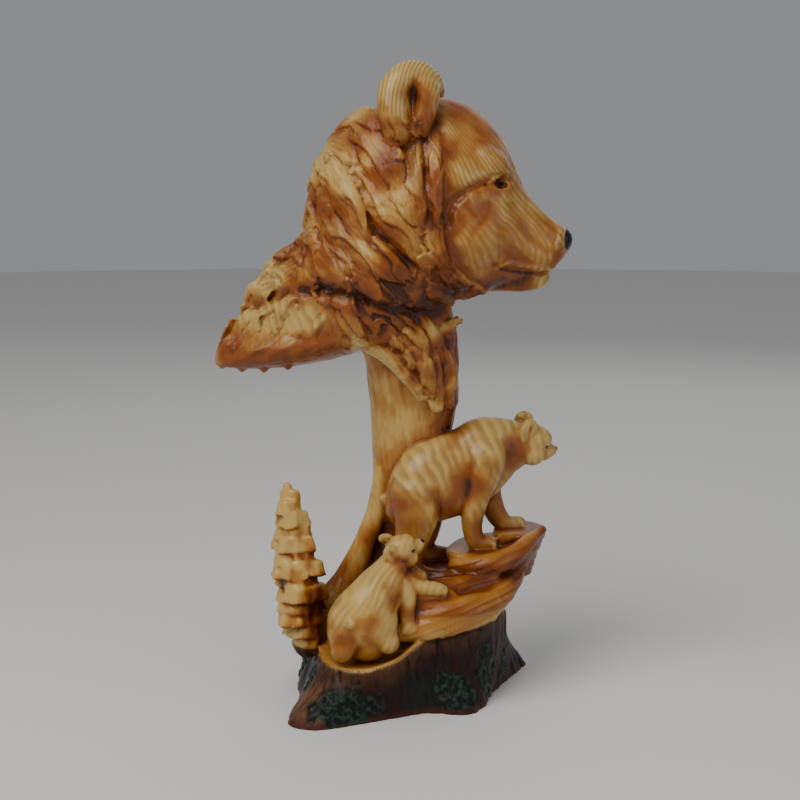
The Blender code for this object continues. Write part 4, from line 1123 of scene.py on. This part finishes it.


# How much brown stain, and painted shade on the other figures, each point carries beyond its hollows
def stainAndShadeAt(points, places):
    place = points * 1000
    stainAndShade = np.zeros(len(points))
    wobble = noiseAt(place, 6.0, 41) * 2.5 + noiseAt(place, 2.5, 42)
    head = onGrid(points, places[carveBust])
    base = 0.22 * smoothStep(head[:, 0], 22, 30) * smoothStep(head[:, 2], 206, 216)
    for (x, z), radius, strength in headPale:
        reach = np.hypot(head[:, 0] - x, head[:, 2] - z) + wobble
        base -= strength * (1 - smoothStep(reach, radius * 0.1, radius * 1.5))
    for (x, z), radius, strength in headStain:
        reach = np.hypot(head[:, 0] - x, head[:, 2] - z) + wobble
        patch = strength * (1 - smoothStep(reach, radius * 0.1, radius * 1.5))
        stainAndShade = np.maximum(stainAndShade, patch * smoothStep(head[:, 2], 150, 160))
    for figure, patches in figureStainAndShade.items():
        grid = onGrid(points, places[figure])
        for middle, radius, strength in patches:
            reach = np.linalg.norm(grid - np.array(middle), axis=1) + wobble
            stainAndShade = np.maximum(stainAndShade, strength * (1 - smoothStep(reach, radius * 0.4, radius * 1.4)))
    return stainAndShade + base


# Keeps a number or a vector for each point of the mesh
def store(mesh, name, values):
    kind, field = ("FLOAT", "value") if values.ndim == 1 else ("FLOAT_VECTOR", "vector")
    layer = mesh.attributes.new(name, kind, "POINT")
    layer.data.foreach_set(field, np.ascontiguousarray(values.ravel(), dtype=np.float32))


# How much painted shade darkens the under sides of each part, and how much fainter its wood rings are
underShadeShare = {"fur": 0.6, "tree": 1.1, "rock": 0.35, "adult": 0.35, "cub": 0.25}
faintShare = {"column": 0.72, "rock": 0.7, "tree": 1.0, "cub": 0.45, "adult": 0.25, "fur": 0.3}


# The strongest of the parts at each point, each with its own share
def strongest(marks, shares):
    return np.maximum.reduce([marks[name] * share for name, share in shares.items()])


# Keeps what the paint follows as values on the mesh
def markForPaint(mesh, points, places, marks):
    normals, place = normalsOf(mesh), points * 1000
    head, foot, angle = marks["head"], marks["foot"], marks["angle"]
    near, wide = hollowness(mesh, points, normals, 6), hollowness(mesh, points, normals, 70)
    below = normals @ np.array([0.35, 0.0, -0.94])
    ruff = marks["fur"] * smoothStep(-head[:, 0], 26, 34) * (1 - smoothStep(head[:, 2], 208, 220))
    # The hollows that the paint darkens and the raised parts it lightens: stain pooled in the hollows and
    # painted shade there
    store(mesh, "nearHollow", np.clip(near / 0.35, -1, 1) * (1 - 0.6 * marks["tree"]))
    store(mesh, "wideHollow", np.clip(wide / 2.6, -0.35, 1))
    jaw = marks["fur"] + marks["face"] > 0.5
    jaw = jaw * (1 - smoothStep(np.abs(head[:, 0] - 28), 10, 16))
    jaw = jaw * (1 - smoothStep(head[:, 2], 286, 300)) * smoothStep(head[:, 2], 216, 226)
    cheek = marks["face"] * (1 - smoothStep(np.hypot(head[:, 0] - 44, head[:, 2] - 256), 10, 14))
    basin = marks["rock"] * (1 - smoothStep(foot[:, 2], 50, 56))
    spare = np.maximum.reduce([marks["rock"], 1.3 * jaw, 1.8 * cheek, 3.4 * basin, 1.4 * ruff])
    store(mesh, "spare", spare)
    out = stumpSkirt(foot)[0]
    band = marks["rock"] * smoothStep(out, 0.5, 0.8) * (1 - smoothStep(np.abs(marks["under"]), 2.0, 6.0))
    patchy = marks["tree"] * (0.6 * noiseAt(place, 9.0, 43) + 1.5 * np.clip(wide / 1.2, 0, 1) + 0.26)
    patchy += marks["cub"] * 0.1
    tilt = strongest(marks, underShadeShare)
    # Painted shade on the sides that face down, lifted along the rock's band under the rim, with the pine's
    # random patches and painted shade in its wide hollows, and the cub a little darker
    store(mesh, "underShadeAndPatches", below * tilt * (1 - band) + patchy - 0.6 * band)
    for name in ("bark", "fur", "rock", "ways", "column"):
        store(mesh, name, marks[name])
    store(mesh, "moss", mossAt(marks, points))
    # brown stain sprayed on, with painted shade on the other figures
    store(mesh, "stainAndShade", stainAndShadeAt(points, places))
    store(mesh, "grainLess", strongest(marks, faintShare))
    for name, values in zip(("headTurns", "bodyTurns", "onHead"), turnsOf(marks, points, places)):
        store(mesh, name, values)
    store(mesh, "broadGrain", np.maximum.reduce([marks["adult"], marks["cub"], ruff]))
    panel = smoothStep(angle, -100, -88) * (1 - smoothStep(angle, -66, -56))
    store(mesh, "greyPanel", panel * smoothStep(22 - foot[:, 2], -4, 4))
    root = (1 - smoothStep(np.abs(angle + 136), 8, 16)) * smoothStep(26 - foot[:, 2], 0, 12)
    shoulder = (1 - smoothStep(marks["under"] + 3 * noiseAt(place, 7.0, 44), 3, 16)) * 0.5
    store(mesh, "rootTan", np.maximum(root, shoulder))


# Carves and casts the statue. Gives it with its figures' matrices and how far it moved
def buildStatue():
    places, skins = placings(), {}
    form = shape()
    for figure, place in places.items():
        mesh = figure()
        mesh.transform(place)
        form.from_mesh(mesh)
        points = pointsOf(mesh)
        skins[figure] = (skinOf(mesh), (points.min(axis=0), points.max(axis=0)))
        print("carved", figure.__name__, len(points), "points")
    mesh = clay(form, fineness["casting"], 0.0)
    print("cast", len(mesh.vertices), "points")
    cutRelief(mesh, places, skins)
    move = flatFoot(mesh)
    statue = bpy.data.objects.new("bearStatue", mesh)
    thin = statue.modifiers.new("Decimate", "DECIMATE")
    thin.ratio = fineness["triangles"] / len(mesh.polygons)
    mesh = evaluated(statue)
    points, normals = pointsOf(mesh) - move, normalsOf(mesh)
    markForPaint(mesh, points, places, regionsOf(points, normals, places, skins))
    statue = bpy.data.objects.new("bearStatue", mesh)
    bpy.context.scene.collection.objects.link(statue)
    mesh.shade_smooth()
    print("thinned to", len(mesh.polygons), "triangles")
    shift = Matrix.Translation(move)
    return statue, {figure: shift @ place for figure, place in places.items()}, move


# An empty shader node group with its sockets: name, kind and start value in, name and kind out
def newGroup(name, inputs, outputs):
    group = bpy.data.node_groups.new(name, "ShaderNodeTree")
    for socket, kind, value in inputs:
        made = group.interface.new_socket(socket, in_out="INPUT", socket_type="NodeSocket" + kind)
        made.default_value = value
    for socket, kind in outputs:
        group.interface.new_socket(socket, in_out="OUTPUT", socket_type="NodeSocket" + kind)
    return group, group.nodes.new("NodeGroupInput").outputs, group.nodes.new("NodeGroupOutput").inputs


# Sets a socket to a number or colour, or links it to another node's socket
def feed(tree, socket, value):
    if isinstance(value, (int, float, tuple)):
        socket.default_value = value
    else:
        tree.links.new(value, socket)


# Each of the next functions adds one node and gives its output
def mathNode(tree, kind, *values):
    node = tree.nodes.new("ShaderNodeMath")
    node.operation = kind
    for socket, value in zip(node.inputs, values):
        feed(tree, socket, value)
    return node.outputs[0]


def vectorNode(tree, kind, a, b=(0, 0, 0), scale=1.0):
    node = tree.nodes.new("ShaderNodeVectorMath")
    node.operation = kind
    feed(tree, node.inputs[0], a)
    if kind == "SCALE":
        feed(tree, node.inputs["Scale"], scale)
    elif kind != "LENGTH":
        feed(tree, node.inputs[1], b)
    return node.outputs["Value" if kind in ("LENGTH", "DOT_PRODUCT") else "Vector"]


def mixNode(tree, share, a, b):
    node = tree.nodes.new("ShaderNodeMix")
    node.data_type = "RGBA"
    for k, value in ((0, share), (6, a), (7, b)):
        feed(tree, node.inputs[k], value)
    return node.outputs[2]


def rangeNode(tree, value, low, high, toLow=0.0, toHigh=1.0):
    node = tree.nodes.new("ShaderNodeMapRange")
    node.interpolation_type = "SMOOTHSTEP"
    names = ("Value", "From Min", "From Max", "To Min", "To Max")
    for name, number in zip(names, (value, low, high, toLow, toHigh)):
        feed(tree, node.inputs[name], number)
    return node.outputs["Result"]


def noiseNode(tree, vector, scale, detail=3.0, rough=0.55):
    node = tree.nodes.new("ShaderNodeTexNoise")
    for name, value in (("Vector", vector), ("Scale", scale), ("Detail", detail), ("Roughness", rough)):
        feed(tree, node.inputs[name], value)
    return node.outputs["Fac"]


def attributeNode(tree, name, output="Fac"):
    node = tree.nodes.new("ShaderNodeAttribute")
    node.attribute_name = name
    return node.outputs[output]


def attributeNodes(tree, *names):
    return (attributeNode(tree, name) for name in names)


def placeGroup(tree, group, **values):
    node = tree.nodes.new("ShaderNodeGroup")
    node.node_tree = group
    for name, value in values.items():
        feed(tree, node.inputs[name], value)
    return node.outputs


# Growth rings of the imitated log: tilted sheets of late wood, seen as lines where the surface cuts them
def woodRings():
    inputs = (("Place", "Vector", (0, 0, 0)), ("Turns", "Float", 0.0), ("Waver", "Float", 1.0))
    tree, given, put = newGroup("woodRings", inputs, (("Line", "Float"),))
    level = given["Turns"]
    for scale, share in ((0.03, 5.0), (0.12, 0.9)):
        sway = mathNode(tree, "SUBTRACT", noiseNode(tree, given["Place"], scale, 1.0), 0.5)
        sway = mathNode(tree, "MULTIPLY", sway, mathNode(tree, "MULTIPLY", given["Waver"], share))
        level = mathNode(tree, "ADD", level, sway)
    ring = mathNode(tree, "FRACT", level)
    rise, fall = rangeNode(tree, ring, 0.15, 0.62), rangeNode(tree, ring, 0.80, 0.98, 1.0, 0.0)
    tree.links.new(mathNode(tree, "MULTIPLY", rise, fall), put["Line"])
    return tree


# Hair-fine tool marks drawn out along the carving
def toolMarks():
    inputs = [("Place", "Vector", (0, 0, 0)), ("Way", "Vector", (0, 0, 1))]
    inputs += [("Scale", "Float", 1.3), ("Length", "Float", 1.0)]
    tree, given, put = newGroup("toolMarks", inputs, (("Height", "Float"),))
    total = 0.0
    for step in (-2, -1, 0, 1, 2):
        length = mathNode(tree, "MULTIPLY", given["Length"], float(step))
        shift = vectorNode(tree, "SCALE", given["Way"], scale=length)
        spot = vectorNode(tree, "ADD", given["Place"], shift)
        total = mathNode(tree, "ADD", total, noiseNode(tree, spot, given["Scale"], 1.0))
    tree.links.new(rangeNode(tree, mathNode(tree, "DIVIDE", total, 5.0), 0.39, 0.61), put["Height"])
    return tree


# A spot of paint: 1 inside an ellipsoid, 0 outside
def paintSpot(tree, place, middle, radii):
    apart = vectorNode(tree, "SUBTRACT", place, middle)
    reach = vectorNode(tree, "LENGTH", vectorNode(tree, "DIVIDE", apart, radii))
    return rangeNode(tree, reach, 0.94, 1.04, 1.0, 0.0)


# Colours of the paint, whose darker tones also stand for painted shade in hollows and under sides, and how
# much varnish the wood carries
woodPaint = {
    "pale": (0.520, 0.335, 0.095, 1), "honey": (0.390, 0.170, 0.024, 1), "orange": (0.235, 0.055, 0.003, 1),
    "deep": (0.050, 0.007, 0.001, 1), "line": (0.150, 0.098, 0.044, 1), "black": (0.004, 0.004, 0.005, 1),
    "coat": 0.3,
}
barkPaint = {
    "upper": (0.019, 0.0045, 0.0015, 1), "root": (0.150, 0.060, 0.022, 1), "grey": (0.012, 0.012, 0.010, 1),
    "black": (0.003, 0.003, 0.003, 1), "moss": (0.003, 0.007, 0.005, 1),
    "mossTip": (0.014, 0.032, 0.022, 1), "edge": (0.060, 0.012, 0.004, 1),
}


# Stained faux wood with painted shade in its hollows, creases and under sides, bark and moss under a satin
# varnish, with black paint on the given spots
def statueMaterial(spots):
    material = bpy.data.materials.new("varnishedFauxWood")
    material.use_nodes = True
    tree = material.node_tree
    shader = tree.nodes["Principled BSDF"]
    place = vectorNode(tree, "SCALE", tree.nodes.new("ShaderNodeTexCoord").outputs["Object"], scale=1000.0)
    near, wide, under = attributeNodes(tree, "nearHollow", "wideHollow", "underShadeAndPatches")
    spare, stainAndShade = attributeNodes(tree, "spare", "stainAndShade")
    bark, moss, fur, rock, column = attributeNodes(tree, "bark", "moss", "fur", "rock", "column")
    broad, panel, root, faint = attributeNodes(tree, "broadGrain", "greyPanel", "rootTan", "grainLess")
    way = attributeNode(tree, "ways", "Vector")
    rings = woodRings()
    sheets = vectorNode(tree, "DOT_PRODUCT", place, (0.4, 0.36, 0.0))
    fineLine = placeGroup(tree, rings, Place=place, Turns=sheets, Waver=1.0)["Line"]
    headTurns, bodyTurns = attributeNodes(tree, "headTurns", "bodyTurns")
    headLine = placeGroup(tree, rings, Place=place, Turns=headTurns, Waver=0.6)["Line"]
    broadLine = placeGroup(tree, rings, Place=place, Turns=bodyTurns, Waver=0.7)["Line"]
    marks = placeGroup(tree, toolMarks(), Place=place, Way=way, Scale=1.4, Length=1.1)["Height"]
    cloud = mathNode(tree, "SUBTRACT", noiseNode(tree, place, 0.045, 1.5), 0.5)
    # how much stain and painted shade lies here: both in hollows, painted shade on under sides and on the
    # other figures, more stain in the fur and the rock and where it was sprayed on, and a little lighter
    # where the tool marks rise
    depth = mathNode(tree, "MULTIPLY", wide, 0.62)
    fine = mathNode(tree, "MULTIPLY", near, mathNode(tree, "MULTIPLY_ADD", fur, -0.16, 0.26))
    shares = [(fine, 1.0), (cloud, 1.4), (stainAndShade, 1.1), (under, 1.0)]
    shares += [(fur, 0.46), (rock, 0.92), (marks, -0.12), (column, 0.14)]
    for value, share in shares:
        depth = mathNode(tree, "ADD", depth, mathNode(tree, "MULTIPLY", value, share))
    depth = mathNode(tree, "MINIMUM", depth, mathNode(tree, "MULTIPLY_ADD", spare, -0.4, 1.5))
    colour = mixNode(tree, rangeNode(tree, depth, -0.45, 0.20), woodPaint["pale"], woodPaint["honey"])
    colour = mixNode(tree, rangeNode(tree, depth, 0.05, 0.70), colour, woodPaint["orange"])
    colour = mixNode(tree, rangeNode(tree, depth, 0.70, 1.45), colour, woodPaint["deep"])
    # painted shade: the deepest creases between the fur's locks turn dark
    shadeInGaps = mathNode(tree, "MULTIPLY", rangeNode(tree, near, 0.35, 1.0, 0.0, 0.5), fur)
    colour = mixNode(tree, shadeInGaps, colour, woodPaint["deep"])
    # wood rings, in patches and fainter where the stain and painted shade are deep
    onHead = attributeNode(tree, "onHead")
    line = mixNode(tree, broad, mixNode(tree, onHead, fineLine, headLine), broadLine)
    patch = rangeNode(tree, noiseNode(tree, place, 0.045, 2.0), 0.36, 0.60, 0.25, 1.0)
    patch = mathNode(tree, "MAXIMUM", patch, mathNode(tree, "MULTIPLY", onHead, 0.7))
    line = mathNode(tree, "MULTIPLY", line, patch)
    line = mathNode(tree, "MULTIPLY", line, rangeNode(tree, depth, 0.0, 0.9, 0.72, 0.2))
    line = mathNode(tree, "MULTIPLY", line, mathNode(tree, "SUBTRACT", 1.0, faint))
    colour = mixNode(tree, line, colour, woodPaint["line"])
    # bark under the rim
    skin = mixNode(tree, panel, barkPaint["upper"], barkPaint["grey"])
    skin = mixNode(tree, root, skin, barkPaint["root"])
    # painted shade: black in the low parts of the tool marks and in the bark's hollows
    skin = mixNode(tree, rangeNode(tree, marks, 0.15, 0.6, 0.55, 0.0), skin, barkPaint["black"])
    skin = mixNode(tree, rangeNode(tree, near, 0.1, 0.9, 0.0, 0.8), skin, barkPaint["black"])
    apart = tree.nodes.new("ShaderNodeSeparateXYZ")
    tree.links.new(place, apart.inputs[0])
    skin = mixNode(tree, rangeNode(tree, apart.outputs["Z"], 1.5, 4.5, 0.8, 0.0), skin, barkPaint["edge"])
    green = mixNode(tree, rangeNode(tree, near, 0.0, -0.8), barkPaint["moss"], barkPaint["mossTip"])
    skin = mixNode(tree, moss, skin, green)
    colour = mixNode(tree, bark, colour, skin)
    black = 0.0
    for middle, radii in spots:
        black = mathNode(tree, "MAXIMUM", black, paintSpot(tree, place, middle, radii))
    colour = mixNode(tree, black, colour, woodPaint["black"])
    tree.links.new(colour, shader.inputs["Base Color"])
    rough = mixNode(tree, bark, (0.34, 0.34, 0.34, 1), (0.28, 0.28, 0.28, 1))
    rough = mathNode(tree, "SUBTRACT", rough, mathNode(tree, "MULTIPLY", black, 0.2))
    tree.links.new(rough, shader.inputs["Roughness"])
    coat = mathNode(tree, "MULTIPLY", mathNode(tree, "SUBTRACT", 1.0, bark), woodPaint["coat"])
    tree.links.new(coat, shader.inputs["Coat Weight"])
    shader.inputs["Coat Roughness"].default_value = 0.2
    shader.inputs["Specular IOR Level"].default_value = 0.16
    bump = tree.nodes.new("ShaderNodeBump")
    bump.inputs["Distance"].default_value = 0.00022
    bump.inputs["Strength"].default_value = 0.75
    share = mathNode(tree, "MULTIPLY", mathNode(tree, "MAXIMUM", fur, bark), 0.8)
    share = mathNode(tree, "ADD", share, 0.2)
    tree.links.new(mathNode(tree, "MULTIPLY", marks, share), bump.inputs["Height"])
    tree.links.new(bump.outputs["Normal"], shader.inputs["Normal"])
    return material


# A round lamp that points at the aim
def areaLight(name, place, aim, size, power, colour):
    light = bpy.data.lights.new(name, "AREA")
    light.shape = "DISK"
    light.size = size
    light.energy = power
    light.color = colour
    lamp = bpy.data.objects.new(name, light)
    lamp.location = place
    lamp.rotation_euler = (Vector(aim) - Vector(place)).to_track_quat("-Z", "Y").to_euler()
    bpy.context.scene.collection.objects.link(lamp)


studio = {
    "focal": 1812.0,  # pixels of the photo's 800 pixel frame
    "pitch": 8.5,  # degrees downwards
    "height": 0.300,
    "distance": 0.950,
    "aim": (0, 0, 0.16),  # what the lamps point at
    # Lamps: name, place, size, power and colour
    "lamps": (
        ("keyLight", (-0.55, -0.75, 1.15), 1.1, 16.5, (1.0, 0.97, 0.93)),
        ("fillLight", (1.1, -0.8, 0.5), 1.2, 3.5, (1, 1, 1)),
        ("rimLight", (0.3, 1.0, 0.9), 1.4, 2.2, (1, 1, 1)),
    ),
    "sky": (0.90, 0.92, 0.95, 1),
    "room": 0.30,  # strength of the sky's light
    "floor": (0.74, 0.73, 0.71, 1),
}


# Camera, lamps, sky and floor, set for a statue that was moved from the figures' frame
def setStudio(move):
    camera = bpy.data.cameras.new("camera")
    camera.sensor_width = 36
    camera.lens = studio["focal"] / 800 * camera.sensor_width
    camera.clip_start = 0.01
    eye = bpy.data.objects.new("camera", camera)
    eye.location = (move[0], move[1] - studio["distance"], move[2] + studio["height"])
    eye.rotation_euler = (math.radians(90 - studio["pitch"]), 0, 0)
    bpy.context.scene.collection.objects.link(eye)
    bpy.context.scene.camera = eye
    for name, place, size, power, colour in studio["lamps"]:
        areaLight(name, place, studio["aim"], size, power, colour)
    world = bpy.data.worlds.new("softRoom")
    world.use_nodes = True
    sky = world.node_tree.nodes["Background"].inputs
    sky["Color"].default_value = studio["sky"]
    sky["Strength"].default_value = studio["room"]
    bpy.context.scene.world = world
    form = shape()
    bmesh.ops.create_circle(form, cap_ends=True, segments=96, radius=3.0)
    mesh = bpy.data.meshes.new("floor")
    form.to_mesh(mesh)
    form.free()
    floor = bpy.data.objects.new("floor", mesh)
    bpy.context.scene.collection.objects.link(floor)
    paint = bpy.data.materials.new("paleFloor")
    paint.use_nodes = True
    looks = paint.node_tree.nodes["Principled BSDF"].inputs
    looks["Base Color"].default_value = studio["floor"]
    looks["Roughness"].default_value = 0.6
    mesh.materials.append(paint)


# Black paint on noses and eyes: figure, place on its grid and radii in millimetres
blackSpots = [(carveBust, (87.0, 0, 243.0), (6.4, 8.6, 6.4))]
for side in (-1, 1):
    blackSpots.append((carveBust, (53.0, side * 19.0, 272.3), (1.7, 5.0, 1.6)))
    for figure, spec in ((carveAdult, adult["head"]), (carveCub, cub["head"])):
        blackSpots.append((figure, headPlace(spec) @ Vector((6.6, side * 5.6, 1.0)), (1.2, 1.8, 1.0)))
for figure, spec in ((carveAdult, adult["head"]), (carveCub, cub["head"])):
    blackSpots.append((figure, headPlace(spec) @ Vector((13.9, 0, -0.7)), (1.4, 1.9, 1.4)))

statue, places, move = buildStatue()
spots = [(tuple(places[figure] @ Vector(middle) * 1000), radii) for figure, middle, radii in blackSpots]
statue.data.materials.append(statueMaterial(spots))
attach(statue, "root")
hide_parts("bear_statue")
setStudio(move)
print("dressed and lit")
